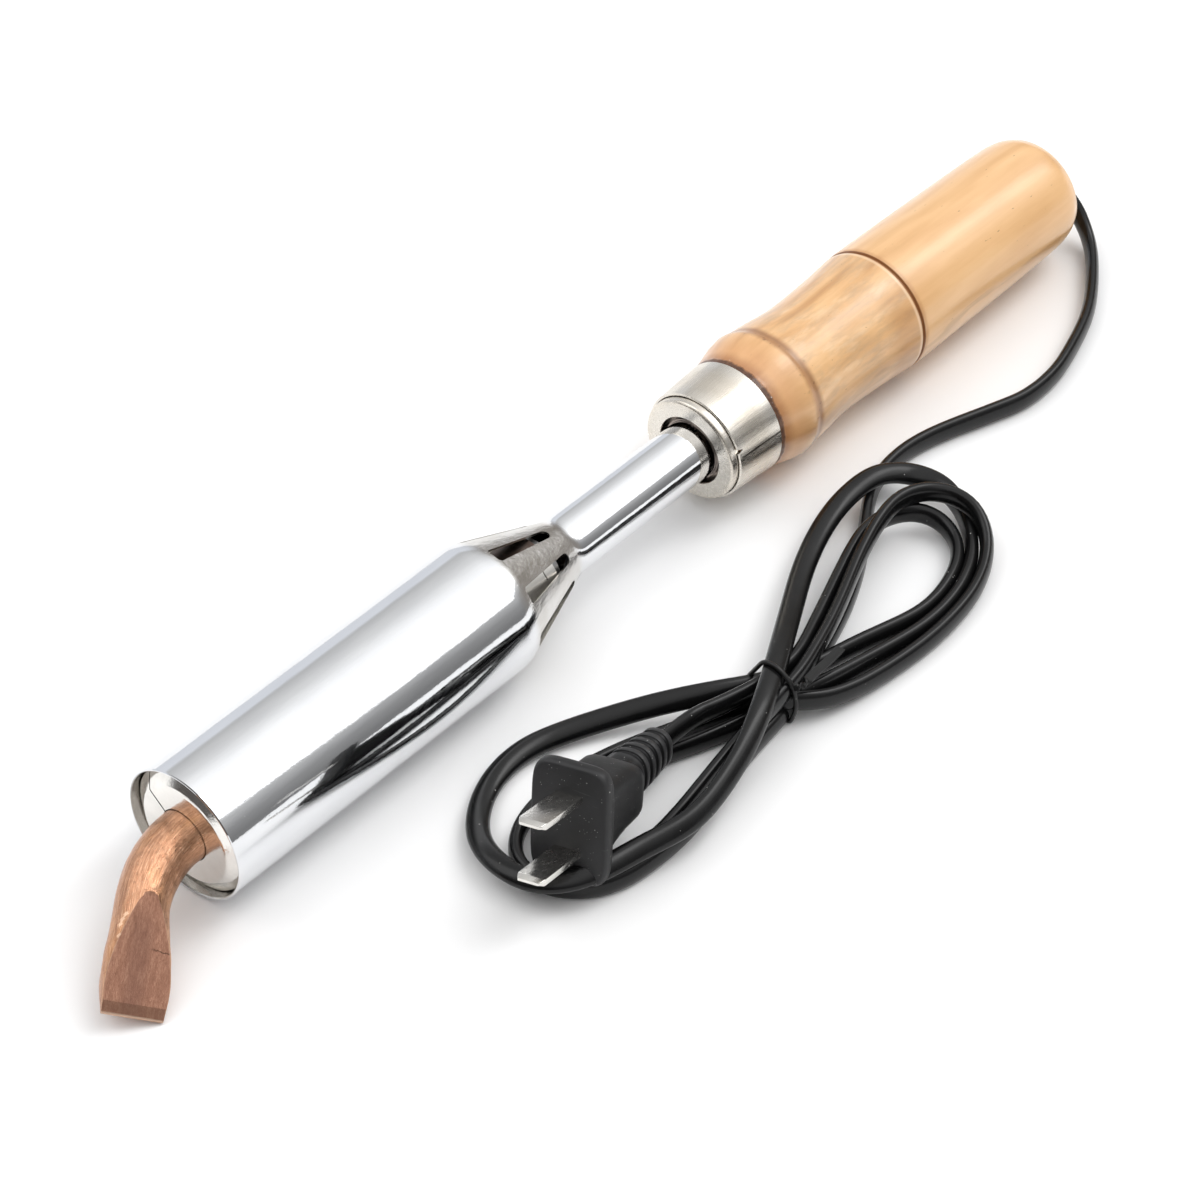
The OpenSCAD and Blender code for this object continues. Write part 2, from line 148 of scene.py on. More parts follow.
def catmull(P, step=2.0):
    """smooth curve through the points, sampled evenly"""
    P = np.asarray(P, float)
    P = np.vstack([2 * P[0] - P[1], P, 2 * P[-1] - P[-2]])
    Q = []
    for i in range(1, len(P) - 2):
        p0, p1, p2, p3 = P[i - 1:i + 3]
        t0 = 0.0
        t1 = t0 + max(np.linalg.norm(p1 - p0), 1e-6) ** 0.5
        t2 = t1 + max(np.linalg.norm(p2 - p1), 1e-6) ** 0.5
        t3 = t2 + max(np.linalg.norm(p3 - p2), 1e-6) ** 0.5
        for t in np.linspace(t1, t2, 12, endpoint=False):
            A1 = (t1 - t) / (t1 - t0) * p0 + (t - t0) / (t1 - t0) * p1
            A2 = (t2 - t) / (t2 - t1) * p1 + (t - t1) / (t2 - t1) * p2
            A3 = (t3 - t) / (t3 - t2) * p2 + (t - t2) / (t3 - t2) * p3
            B1 = (t2 - t) / (t2 - t0) * A1 + (t - t0) / (t2 - t0) * A2
            B2 = (t3 - t) / (t3 - t1) * A2 + (t - t1) / (t3 - t1) * A3
            Q.append((t2 - t) / (t2 - t1) * B1 + (t - t1) / (t2 - t1) * B2)
    Q.append(P[-2])
    Q = np.array(Q)
    return resample(Q, step)


def resample(Q, step):
    s = np.concatenate([[0], np.cumsum(np.linalg.norm(np.diff(Q, axis=0), axis=1))])
    n = int(round(s[-1] / step))
    u = np.linspace(0, s[-1], n + 1)
    return np.stack([np.interp(u, s, Q[:, k]) for k in range(Q.shape[1])], 1)


# ---------------------------------------------------------------- cord
# route in mm: x from the barrel's lip, y from the iron's axis, z from the bench, roll of the flat section
# (0 stands on its edge, 90 lies flat)
LEAD = [(288, 0, 16.3, 0), (291.2, 0, 16.3, 0), (295, -0.5, 15.5, 0), (298, -3, 12.5, 0), (299, -7, 8.5, 0),
        (298, -11, 5, 0), (294.5, -15.5, 3, 0), (287, -21.5, 2.6, 0), (275, -29, 2.6, 0), (262, -34, 2.6, 0),
        (250, -37, 2.6, 0), (239, -37, 2.6, 0), (229, -34, 2.6, 0), (219, -30.5, 2.6, 0), (210, -28, 2.6, 0),
        (202, -27.5, 2.6, 0), (190.2, -30, 2.6, 0), (181.7, -35.4, 2.6, 0), (172.7, -41.3, 2.6, 0),
        (162.9, -46.9, 2.6, 0), (152.8, -51.5, 2.6, 0), (142.6, -54.8, 2.6, 0), (133.5, -57.4, 2.6, 0)]
L1 = [(124.2, -59.5, 2.6, 0), (115.3, -61.5, 2.6, 0), (106.2, -63.2, 2.6, 0), (97.1, -65.1, 2.6, 0),
      (87.7, -66.9, 2.6, 0), (78, -68.6, 2.6, 0), (66.5, -68.6, 2.6, 0), (56, -66.5, 2.6, 0), (49, -60.5, 2.6, 0),
      (47, -53, 2.6, 0), (50, -45.5, 2.6, 0), (57.5, -41, 2.6, 0), (68, -39.5, 2.6, 0), (80, -40.5, 2.6, 0),
      (92, -44, 2.6, 0), (103, -48.5, 2.6, 0), (114, -53, 2.6, 0)]
R1 = [(121.6, -63.1, 4.6, 0), (125.7, -66.4, 4.8, 0), (135.5, -68.9, 3.4, 0), (149.7, -70.6, 2.6, 0),
      (162, -71.2, 2.6, 0), (174.4, -69.4, 2.6, 0), (183.9, -66.7, 2.8, 0), (191.9, -62.2, 3.8, 0),
      (195.4, -56.4, 6.4, 0), (195.7, -50.1, 8.4, 0), (192.5, -44.6, 9.4, 0), (186, -41.7, 9.6, 0),
      (177.2, -42.3, 9.4, 0), (166.4, -45.8, 9, 0), (156, -50.2, 8.6, 0), (144.9, -54.7, 8.4, 0),
      (134.6, -58.2, 8.4, 0), (126.1, -60.9, 8.6, 0)]
L2 = [(118.1, -62, 8.6, 0), (111.1, -62.3, 8.4, 0), (103.7, -63.1, 8, 0), (96.3, -63.9, 7.4, 0),
      (88.5, -65.1, 6.6, 0), (80.7, -66.3, 5.4, 0), (76, -66, 4, 0), (66, -65, 2.6, 0), (57.5, -61.5, 2.6, 0),
      (53.5, -55.5, 2.6, 0), (54, -49.5, 2.6, 0), (59, -45, 2.6, 0), (67, -43.5, 2.6, 0), (77, -44.5, 2.6, 0),
      (87, -48, 2.6, 0), (97, -52, 2.6, 0), (107, -55.5, 2.6, 0), (116, -58, 2.6, 0)]
R2 = [(124.8, -63.2, 5.6, 0), (135.4, -65, 5.2, 0), (148.6, -66.2, 3.2, 0), (162.1, -67.9, 2.6, 0),
      (172.4, -67.1, 2.6, 0), (181.8, -64, 2.6, 0), (189.4, -59.7, 2.6, 0), (195.4, -53.8, 2.8, 10),
      (199.5, -46.1, 3.6, 25), (199.6, -39.4, 4.6, 45), (196.4, -33.8, 5.6, 60), (190, -30.7, 6.2, 70),
      (179.6, -29.9, 6.2, 78), (167.5, -32.9, 6.2, 80), (155.4, -38, 6.6, 82), (141.5, -45.8, 8.4, 82),
      (129.7, -52.7, 11, 78), (120.3, -58.1, 12.4, 74)]
L3 = [(111.5, -62.6, 13, 66), (104.1, -65.8, 12.4, 54), (96.9, -68.3, 11.2, 42), (88.4, -70.2, 9.8, 36),
      (79.6, -71.3, 8.6, 38), (66, -68, 7.4, 50), (53.5, -65, 6.8, 60), (46, -59, 6.2, 70), (43.2, -51, 6, 80),
      (45, -42.5, 5, 82), (50, -35.5, 3.4, 88), (57.5, -30, 2.4, 94), (66, -26.9, 2.2, 102), (75, -26.7, 2.4, 112),
      (84, -29.8, 2.9, 124), (93, -34.7, 3.8, 132), (102, -40.7, 5.2, 137), (111, -47.5, 6.2, 142),
      (118.5, -52.3, 5.8, 152)]
R3 = [(126, -56, 5.4, 165), (132.5, -59, 5.6, 180), (138.6, -59.9, 5.2, 180), (145.4, -60.9, 4.4, 180),
      (153.7, -62.2, 3.2, 180), (165.4, -64.8, 2.6, 180), (174.9, -64.1, 2.6, 180), (182.6, -61.3, 2.6, 180),
      (188.9, -55.9, 2.8, 180), (191.3, -49.3, 4, 180), (188.8, -43, 5.4, 180), (182, -40.5, 6.2, 180),
      (171.5, -41.6, 6.8, 180), (160.8, -44.9, 7, 180), (149.3, -49.3, 7.2, 180), (138.5, -53.4, 7.6, 180),
      (128.9, -56.9, 8.2, 180)]
PL = [(121.5, -56.8, 8.6, 180), (114, -55.4, 8.7, 180), (106.3, -53.6, 9.2, 180), (99, -52.8, 10.6, 180)]
PLUG_AT = np.array([53.3, -58.2, 17.5])
PLUG_LEN = 40.6
ti, tu = math.radians(15.66), math.radians(12.0)
PU = np.array([math.cos(ti) * math.cos(tu), math.cos(ti) * math.sin(tu), -math.sin(ti)])   # face to boot
_b0 = np.array([-math.sin(tu), math.cos(tu), 0.0])
_c0 = np.cross(PU, _b0)
_rr = math.radians(-6.5)
PB = math.cos(_rr) * _b0 + math.sin(_rr) * _c0       # blade width
PC = -math.sin(_rr) * _b0 + math.cos(_rr) * _c0      # blade spacing, up


def P(u, b=0.0, c=0.0):
    """point of the plug, mm from the middle of its face"""
    return PLUG_AT + u * PU + b * PB + c * PC


TAIL = [tuple(P(u)) + (180,) for u in (PLUG_LEN - 1.0, 34.0, 28.0)]
ROUTE = LEAD + L1 + R1 + L2 + R2 + L3 + R3 + PL + TAIL

TH, WD = 3.2, 5.2                       # the flat cord's thickness and width


def settle(R, rounds):
    """moves touching lengths of cord apart and keeps them smooth; the ends and the lead stay"""
    R = R.copy()
    n = len(R)
    for _ in range(12):
        R[1:-1, 3] = 0.25 * R[:-2, 3] + 0.5 * R[1:-1, 3] + 0.25 * R[2:, 3]
    X0 = R[:, :3].copy()
    s = np.concatenate([[0], np.cumsum(np.linalg.norm(np.diff(X0, axis=0), axis=1))])
    free = np.ones(n)
    free[s < 100] = 0
    free[s > s[-1] - 26] = 0
    free = np.convolve(np.pad(free, 6, mode="edge"), np.ones(13) / 13, "valid") * (free > 0)
    roll = np.radians(R[:, 3])
    hh = np.abs(np.cos(roll)) * TH / 2 + np.abs(np.sin(roll)) * WD / 2      # half width seen from above
    hz = np.abs(np.cos(roll)) * WD / 2 + np.abs(np.sin(roll)) * TH / 2
    squeeze = 1 - 0.42 * np.exp(-((X0[:, 0] - 126) / 11.0) ** 2)            # the tie presses the lengths together
    ww, wz = hh * squeeze, hz * squeeze
    far = np.abs(s[:, None] - s[None]) > 22
    X = X0.copy()
    for it in range(rounds):
        d = X[:, None] - X[None]
        sx = ww[:, None] + ww[None]
        sz = (wz[:, None] + wz[None]) * 0.95
        e = np.sqrt((d[..., 0] ** 2 + d[..., 1] ** 2) / sx ** 2 + d[..., 2] ** 2 / sz ** 2) + 1e-9
        hit = (e < 1.0) & far
        amt = np.where(hit, (1.0 - e) / e, 0.0)
        push = np.stack([(amt * d[..., 0]).sum(1), (amt * d[..., 1]).sum(1), (amt * d[..., 2] * 0.8).sum(1)], 1)
        cnt = np.maximum(hit.sum(1), 1)[:, None]
        F = 0.45 * push / cnt * free[:, None]
        for _ in range(6):                       # a push spreads along the stiff cord
            F[1:-1] = 0.25 * F[:-2] + 0.5 * F[1:-1] + 0.25 * F[2:]
        X += F * (1.6 if it < rounds * 0.8 else 0.8)
        for _ in range(2):                       # less stretch, less bend
            L = np.zeros_like(X)
            L[1:-1] = (X[:-2] + X[2:]) / 2 - X[1:-1]
            B = np.zeros_like(X)
            B[1:-1] = (L[:-2] + L[2:]) / 2 - L[1:-1]
            X += (0.05 * L - 0.32 * B) * free[:, None]
        # back towards the route
        X += 0.02 * (X0 - X) * free[:, None]
        # on the bench
        X[:, 2] = np.maximum(X[:, 2], np.where(free > 0, hz + 0.02, X[:, 2]))
    R[:, :3] = X
    return R


def cord_mesh(name, R, th, wd, sides=28, power=2.15):
    """flat cord swept along R with its roll, in metres"""
    X = R[:, :3]
    T = np.gradient(X, axis=0)
    T /= np.linalg.norm(T, axis=1)[:, None]
    S = np.cross(T, np.array([0, 0, 1.0]))
    S /= np.maximum(np.linalg.norm(S, axis=1), 1e-6)[:, None]
    U = np.cross(S, T)
    ro = np.radians(R[:, 3])[:, None]
    W = np.cos(ro) * U + np.sin(ro) * S          # wide axis
    N = np.cos(ro) * S - np.sin(ro) * U          # thin axis
    a = np.linspace(0, 2 * math.pi, sides, endpoint=False)
    ca, sa = np.cos(a), np.sin(a)
    pw = np.sign(ca) * np.abs(ca) ** (2 / power) * wd / 2
    pn = np.sign(sa) * np.abs(sa) ** (2 / 2.05) * th / 2
    rings = [G(X[i] + pw[:, None] * W[i] + pn[:, None] * N[i]) for i in range(len(X))]
    return loft(name, rings, True, 60.0)


R0 = catmull(ROUTE, 2.0)
# skip what is inside the handle's hole: the cord starts at the handle's end
i0 = int(np.argmin(np.linalg.norm(R0[:, :3] - np.array([291.2, 0, 16.3]), axis=1)))
R0 = R0[i0:]
RC = settle(R0, 110)
RC = resample(RC, 1.6)
cord = cord_mesh("mains_cord", RC, TH, WD)
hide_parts("cord_lead", "cord_hank", "cord_plug_lead")


# ---------------------------------------------------------------- materials
class Mat:
    """a small builder for node materials; coordinates are the row frame's, in metres"""

    def __init__(self, name):
        self.m = bpy.data.materials.new(name)
        self.m.use_nodes = True
        self.t = self.m.node_tree
        self.t.nodes.clear()
        self.out = self.t.nodes.new("ShaderNodeOutputMaterial")
        self.b = self.t.nodes.new("ShaderNodeBsdfPrincipled")
        self.t.links.new(self.b.outputs[0], self.out.inputs["Surface"])
        self.co = self.t.nodes.new("ShaderNodeTexCoord").outputs["Object"]
        self._h = None

    def put(self, sock, v):
        if hasattr(v, "is_linked"):
            self.t.links.new(v, sock)
        elif sock.type == "RGBA" and len(v) == 3:
            sock.default_value = (*v, 1.0)
        else:
            sock.default_value = v

    def set(self, **kw):
        for k, v in kw.items():
            self.put(self.b.inputs[k.replace("_", " ")], v)
        return self

    def node(self, kind, props=None, **ins):
        n = self.t.nodes.new(kind)
        for k, v in (props or {}).items():
            setattr(n, k, v)
        for k, v in ins.items():
            key = int(k[1:]) if k[0] == "i" and k[1:].isdigit() else k.replace("_", " ")
            self.put(n.inputs[key], v)
        return n

    def map(self, scale, loc=(0, 0, 0), rot=(0, 0, 0), co=None):
        return self.node("ShaderNodeMapping", Vector=co or self.co, Scale=scale, Location=loc, Rotation=rot).outputs[0]

    def noise(self, scale=1.0, detail=4.0, rough=0.55, co=None, dist=0.0):
        return self.node("ShaderNodeTexNoise", Vector=co or self.co, Scale=scale, Detail=detail,
                         Roughness=rough, Distortion=dist).outputs["Fac"]

    def voronoi(self, scale, co=None, feature="F1", out="Distance", rand=1.0):
        return self.node("ShaderNodeTexVoronoi", {"feature": feature}, Vector=co or self.co, Scale=scale,
                         Randomness=rand).outputs[out]

    def ramp(self, fac, stops):
        n = self.t.nodes.new("ShaderNodeValToRGB")
        e = n.color_ramp.elements
        while len(e) < len(stops):
            e.new(0.5)
        for k, (p, c) in zip(e, stops):
            k.position = p
            k.color = (*c, 1.0) if len(c) == 3 else c
        self.put(n.inputs[0], fac)
        return n.outputs[0]

    def rng(self, v, a, b, c=0.0, d=1.0, smooth=False):
        return self.node("ShaderNodeMapRange", {"interpolation_type": "SMOOTHSTEP" if smooth else "LINEAR"},
                         Value=v, From_Min=a, From_Max=b, To_Min=c, To_Max=d).outputs[0]

    def math(self, op, a, b=0.5, c=0.0, clamp=False):
        n = self.t.nodes.new("ShaderNodeMath")
        n.operation = op
        n.use_clamp = clamp
        for i, v in enumerate((a, b, c)):
            self.put(n.inputs[i], v)
        return n.outputs[0]

    def mix(self, f, a, b, mode="MIX"):
        n = self.t.nodes.new("ShaderNodeMix")
        n.data_type = "RGBA"
        n.blend_type = mode
        self.put(n.inputs[0], f)
        self.put(n.inputs[6], a)
        self.put(n.inputs[7], b)
        return n.outputs[2]

    def xyz(self, co=None):
        n = self.node("ShaderNodeSeparateXYZ", Vector=co or self.co)
        return n.outputs[0], n.outputs[1], n.outputs[2]

    def band(self, v, lo, hi, soft):
        """1 between lo and hi, with soft edges"""
        up = self.rng(v, lo - soft, lo + soft, smooth=True)
        dn = self.rng(v, hi - soft, hi + soft, 1.0, 0.0, smooth=True)
        return self.math("MULTIPLY", up, dn)

    def bump(self, h, strength=0.3, dist=0.0005):
        n = self.node("ShaderNodeBump", Strength=strength, Distance=dist, Height=h)
        if self._h is not None:
            self.t.links.new(self._h, n.inputs["Normal"])
        self._h = n.outputs[0]
        self.t.links.new(self._h, self.b.inputs["Normal"])
        return self

    def edge(self, lo=0.50, hi=0.58):
        """pointiness: a mask of sharp edges, where a lighter colour is painted as an edge highlight"""
        g = self.t.nodes.new("ShaderNodeNewGeometry")
        return self.rng(g.outputs["Pointiness"], lo, hi)


# ---------------------------------------------------------------- the bit's lines
RB, BA, ROD = 27.0, math.radians(44.5), 6.25
ARC = RB * BA
PA = math.radians(36)
q_dir = np.array([0, -math.cos(PA), -math.sin(PA)])
b_dir = np.array([0, -math.sin(PA), math.cos(PA)])
SL = (ROD - 1.0) / 22.8                 # slope of the two long flats


def bit_frame(s):
    """centre, tangent, wide and thick direction; s is 0 at the end of the bend"""
    p = min(BA, max(0.0, BA + s / RB)) if s < 0 else BA
    t = np.array([-math.cos(p), 0, 0]) + math.sin(p) * q_dir
    m = np.array([math.sin(p), 0, 0]) + math.cos(p) * q_dir
    c = RB * np.array([-math.sin(p), 0, 0]) + RB * (1 - math.cos(p)) * q_dir
    c = c + (s if s > 0 else min(0.0, s + ARC)) * t
    return c, t, 0.9982 * m + 0.0593 * b_dir, -0.0593 * m + 0.9982 * b_dir


def top_h(s):
    return ROD - SL * (s + 3.7) if s <= 19.1 else 1.0 - 1.1 * (s - 19.1) / 2.6


def low_h(s):
    return max(0.25, ROD - SL * (s + 3.7))


BW_S = (-16, -10, -3, 0, 3.2, 8, 13.7, 17, 19.1, 21.7)
BW_W = (0, -0.05, -0.3, -0.15, 0.15, 0.9, 1.25, 1.05, 0.65, 0.35)


def bit_width(s):
    return ROD + float(np.interp(s + np.linspace(-1.4, 1.4, 9), BW_S, BW_W).mean())


def fx(mm):
    return (mm + OX) / 1000.0


def m_chrome():
    m = Mat("bright_chrome")
    soft = m.noise(1.0, 2, 0.5, m.map((90, 330, 330)))
    fine = m.noise(1.0, 2, 0.6, m.map((1500, 2400, 2400)))
    streak = m.noise(1.0, 3, 0.55, m.map((10, 700, 700)))
    x, y, z = m.xyz()
    cone = m.band(x, fx(92.2), fx(115.2), 0.0014)
    far = m.rng(x, fx(90), fx(93))
    r = m.math("ADD", m.rng(fine, 0.3, 0.7, 0.035, 0.06), m.rng(streak, 0.4, 0.75, 0.0, 0.03))
    r = m.math("ADD", r, m.math("MULTIPLY", cone, 0.17))
    r = m.math("SUBTRACT", r, m.math("MULTIPLY", m.rng(x, fx(115.5), fx(117)), 0.012))
    col = m.mix(m.rng(soft, 0.35, 0.7), (0.815, 0.825, 0.84), (0.785, 0.795, 0.815))
    cl = m.noise(1.0, 5, 0.6, m.map((110, 190, 190)))
    col = m.mix(m.math("MULTIPLY", cone, 0.85), col, m.mix(m.rng(cl, 0.35, 0.65), (0.61, 0.585, 0.545), (0.74, 0.725, 0.70)))
    # the inside of the sheet is dull; deeper in, under the cone, it is darker still, which is painted shade
    tc = m.node("ShaderNodeTexCoord").outputs["Normal"]
    nx, ny, nz = m.xyz(tc)
    ins = m.math("ADD", m.math("MULTIPLY", ny, m.math("SUBTRACT", y, OY / 1000.0)), m.math("MULTIPLY", nz, m.math("SUBTRACT", z, H / 1000.0)))
    ins = m.rng(ins, -0.0008, -0.0002, 1.0, 0.0)
    # inside colour: the sheet's own duller tone, darker past the cone's start as painted shade
    col = m.mix(ins, col, m.mix(far, (0.50, 0.48, 0.45), (0.42, 0.40, 0.36)))
    dust = m.rng(m.noise(1.0, 4, 0.7, m.map((700, 900, 900))), 0.68, 0.76, 0.0, 0.16)
    rough = m.math("ADD", m.math("ADD", r, dust), m.math("MULTIPLY", ins, 0.12))
    # pinhead specks in the plating
    pit = m.rng(m.voronoi(1.0, m.map((260, 300, 300))), 0.0, 0.035, 1.0, 0.0)
    m.set(Base_Color=col, Metallic=1.0, Roughness=rough)
    dim = m.noise(1.0, 3, 0.6, m.map((240, 520, 520)))
    m.bump(soft, 0.05, 0.0005).bump(fine, 0.05, 0.00012).bump(pit, 0.25, 0.0002)
    m.bump(m.math("MULTIPLY", dim, cone), 0.22, 0.0006)
    return m.m


def m_nickel(name="satin_nickel", tone=(0.76, 0.70, 0.61), rough=0.24):
    m = Mat(name)
    br = m.noise(1.0, 4, 0.6, m.map((90, 1400, 1400)))
    cl = m.noise(1.0, 5, 0.6, m.map((130, 130, 130)))
    col = m.mix(m.rng(cl, 0.35, 0.7), tone, tuple(c * 0.80 for c in tone))
    # sharp edges lighter: painted edge highlight
    e = m.edge(0.505, 0.56)
    col = m.mix(m.math("MULTIPLY", e, 0.4), col, (0.86, 0.84, 0.80))
    if name == "tinned":                 # heat stained along its top, a crack across the tin
        x, y, z = m.xyz()
        ang = m.math("ARCTAN2", m.math("SUBTRACT", z, H / 1000.0), m.math("SUBTRACT", y, OY / 1000.0))
        stain = m.math("MULTIPLY", m.band(ang, math.radians(60), math.radians(124), 0.05), m.rng(cl, 0.2, 0.5, 0.8, 1.0))
        col = m.mix(stain, col, (0.085, 0.06, 0.05))
        crk = m.band(m.math("ADD", x, m.rng(cl, 0.3, 0.7, -0.0006, 0.0006)), fx(103.3), fx(103.6), 0.00008)
        col = m.mix(m.math("MULTIPLY", crk, m.band(ang, math.radians(128), math.radians(150), 0.02)), col, (0.05, 0.04, 0.035))
    if name == "satin_nickel":           # where the band's edges meet
        x, y, z = m.xyz()
        ang = m.math("ARCTAN2", m.math("SUBTRACT", z, H / 1000.0), m.math("SUBTRACT", y, OY / 1000.0))
        seam = m.math("MULTIPLY", m.band(ang, math.radians(165.0), math.radians(167.0), 0.008), m.rng(x, fx(163.6), fx(164.2)))
        col = m.mix(m.math("MULTIPLY", seam, 0.85), col, (0.06, 0.05, 0.04))
    m.set(Base_Color=col, Metallic=1.0,
          Roughness=m.math("ADD", m.rng(br, 0.3, 0.7, rough - 0.05, rough + 0.08), m.rng(cl, 0.5, 0.8, 0, 0.06)))
    m.bump(br, 0.12, 0.0002)
    return m.m


def m_steel(name, tone=(0.42, 0.42, 0.42), rough=0.38):
    m = Mat(name)
    cl = m.noise(1.0, 6, 0.65, m.map((180, 180, 180)))
    fi = m.noise(1.0, 3, 0.6, m.map((1400, 1400, 1400)))
    col = m.mix(m.rng(cl, 0.3, 0.75), tone, tuple(c * 0.62 for c in tone))
    m.set(Base_Color=col, Metallic=1.0, Roughness=m.rng(cl, 0.3, 0.75, rough - 0.06, rough + 0.14))
    m.bump(fi, 0.2, 0.0002)
    return m.m


def m_copper():
    m = Mat("hammered_copper")
    c0, t0, w0, n0 = bit_frame(0.001)
    c0 = A(c0)
    rel = m.node("ShaderNodeVectorMath", {"operation": "SUBTRACT"}, i0=m.co, i1=tuple(map(float, c0))).outputs[0]

    def along(v):
        return m.node("ShaderNodeVectorMath", {"operation": "DOT_PRODUCT"}, i0=rel, i1=tuple(float(k) * 1000 for k in v)).outputs["Value"]
    s, e, h = along(t0), along(w0), along(n0)
    loc = m.node("ShaderNodeCombineXYZ", X=s, Y=e, Z=h).outputs[0]
    nrm = m.node("ShaderNodeTexCoord").outputs["Normal"]
    fn = unit(n0 + SL * t0)
    face = m.node("ShaderNodeVectorMath", {"operation": "DOT_PRODUCT"}, i0=nrm, i1=tuple(map(float, fn))).outputs["Value"]
    face = m.math("MULTIPLY", m.rng(face, 0.945, 0.975, smooth=True), m.rng(s, -4.5, -2.5, smooth=True))
    bev = m.math("MULTIPLY", m.rng(s, 18.95, 19.2), face)
    # round sides: brushed along the rod, with soft hammer marks and painted peach highlights; "rod" holds the place on
    # the unbent rod in mm
    rod = m.node("ShaderNodeAttribute", {"attribute_name": "rod"}).outputs["Vector"]
    ham = m.noise(1.0, 2, 0.5, m.map((170, 170, 170)), 0.4)
    big = m.noise(1.0, 3, 0.6, m.map((0.05, 0.16, 0.16), co=rod))
    br = m.noise(1.0, 5, 0.68, m.map((0.30, 3.2, 3.2), co=rod), 0.3)
    br2 = m.noise(1.0, 5, 0.70, m.map((0.9, 2.6, 2.6), loc=(3, 8, 2), co=rod))
    pit = m.rng(m.noise(1.0, 5, 0.7, m.map((900, 900, 900))), 0.60, 0.72)
    side = m.ramp(m.rng(br, 0.28, 0.72), [(0.0, (0.30, 0.140, 0.078)), (0.4, (0.47, 0.240, 0.140)),
                                          (0.75, (0.64, 0.360, 0.225)), (1.0, (0.86, 0.56, 0.38))])
    side = m.mix(m.rng(big, 0.50, 0.68, 0.0, 0.55), side, (0.74, 0.385, 0.185))
    # pale peach patches along the brushing: painted highlights
    side = m.mix(m.rng(br2, 0.60, 0.74, 0.0, 0.6), side, (0.95, 0.72, 0.55))
    side = m.mix(m.math("MULTIPLY", pit, 0.45), side, (0.17, 0.09, 0.065))
    # upper flat: filed lengthwise
    fine = m.noise(1.0, 4, 0.7, m.map((0.12, 5.5, 5.5), co=loc))
    mid = m.noise(1.0, 3, 0.6, m.map((0.16, 1.1, 1.1), co=loc))
    spot = m.noise(1.0, 5, 0.7, m.map((1.2, 1.5, 1.5), co=loc))
    flat = m.ramp(m.math("ADD", m.math("MULTIPLY", m.rng(fine, 0.3, 0.7), 0.55), m.math("MULTIPLY", m.rng(mid, 0.3, 0.7), 0.45)),
                  [(0.0, (0.25, 0.120, 0.080)), (0.5, (0.40, 0.205, 0.138)), (1.0, (0.60, 0.345, 0.235))])
    centre = m.math("MULTIPLY", m.rng(m.math("ABSOLUTE", m.math("ADD", e, 0.6)), 0.8, 3.6, 1.0, 0.0, smooth=True), m.rng(s, -1, 5))
    flat = m.mix(m.math("MULTIPLY", centre, 0.36), flat, (0.19, 0.100, 0.078))
    flat = m.mix(m.rng(spot, 0.58, 0.74, 0.0, 0.3), flat, (0.17, 0.10, 0.075))
    crack = m.band(m.math("ADD", s, m.math("ADD", m.math("MULTIPLY", e, -0.12), m.math("MULTIPLY", spot, 1.2))), 8.1, 8.35, 0.08)
    crack = m.math("MULTIPLY", crack, m.rng(e, 1.5, 3.0))
    flat = m.mix(m.math("MULTIPLY", crack, 0.7), flat, (0.05, 0.03, 0.025))
    flat = m.mix(m.math("MULTIPLY", bev, 0.45), flat, (0.25, 0.135, 0.090))
    flat = m.mix(m.math("MULTIPLY", m.rng(s, 21.1, 21.45), 0.7), flat, (0.92, 0.66, 0.50))
    col = m.mix(face, side, flat)
    # sharp edges bright orange: painted edge highlight
    ed = m.edge(0.52, 0.60)
    col = m.mix(m.math("MULTIPLY", ed, 0.65), col, (0.95, 0.66, 0.46))
    rough = m.mix(face, m.rng(br2, 0.3, 0.75, 0.24, 0.40), m.rng(fine, 0.3, 0.7, 0.34, 0.50))
    m.set(Base_Color=col, Metallic=1.0, Roughness=rough)
    m.bump(m.math("MULTIPLY", ham, m.math("SUBTRACT", 1.0, face)), 0.6, 0.0009)
    m.bump(m.math("MULTIPLY", br, m.math("SUBTRACT", 1.0, face)), 0.35, 0.0003)
    m.bump(m.math("MULTIPLY", fine, face), 0.5, 0.0002).bump(pit, 0.25, 0.0002)
    return m.m


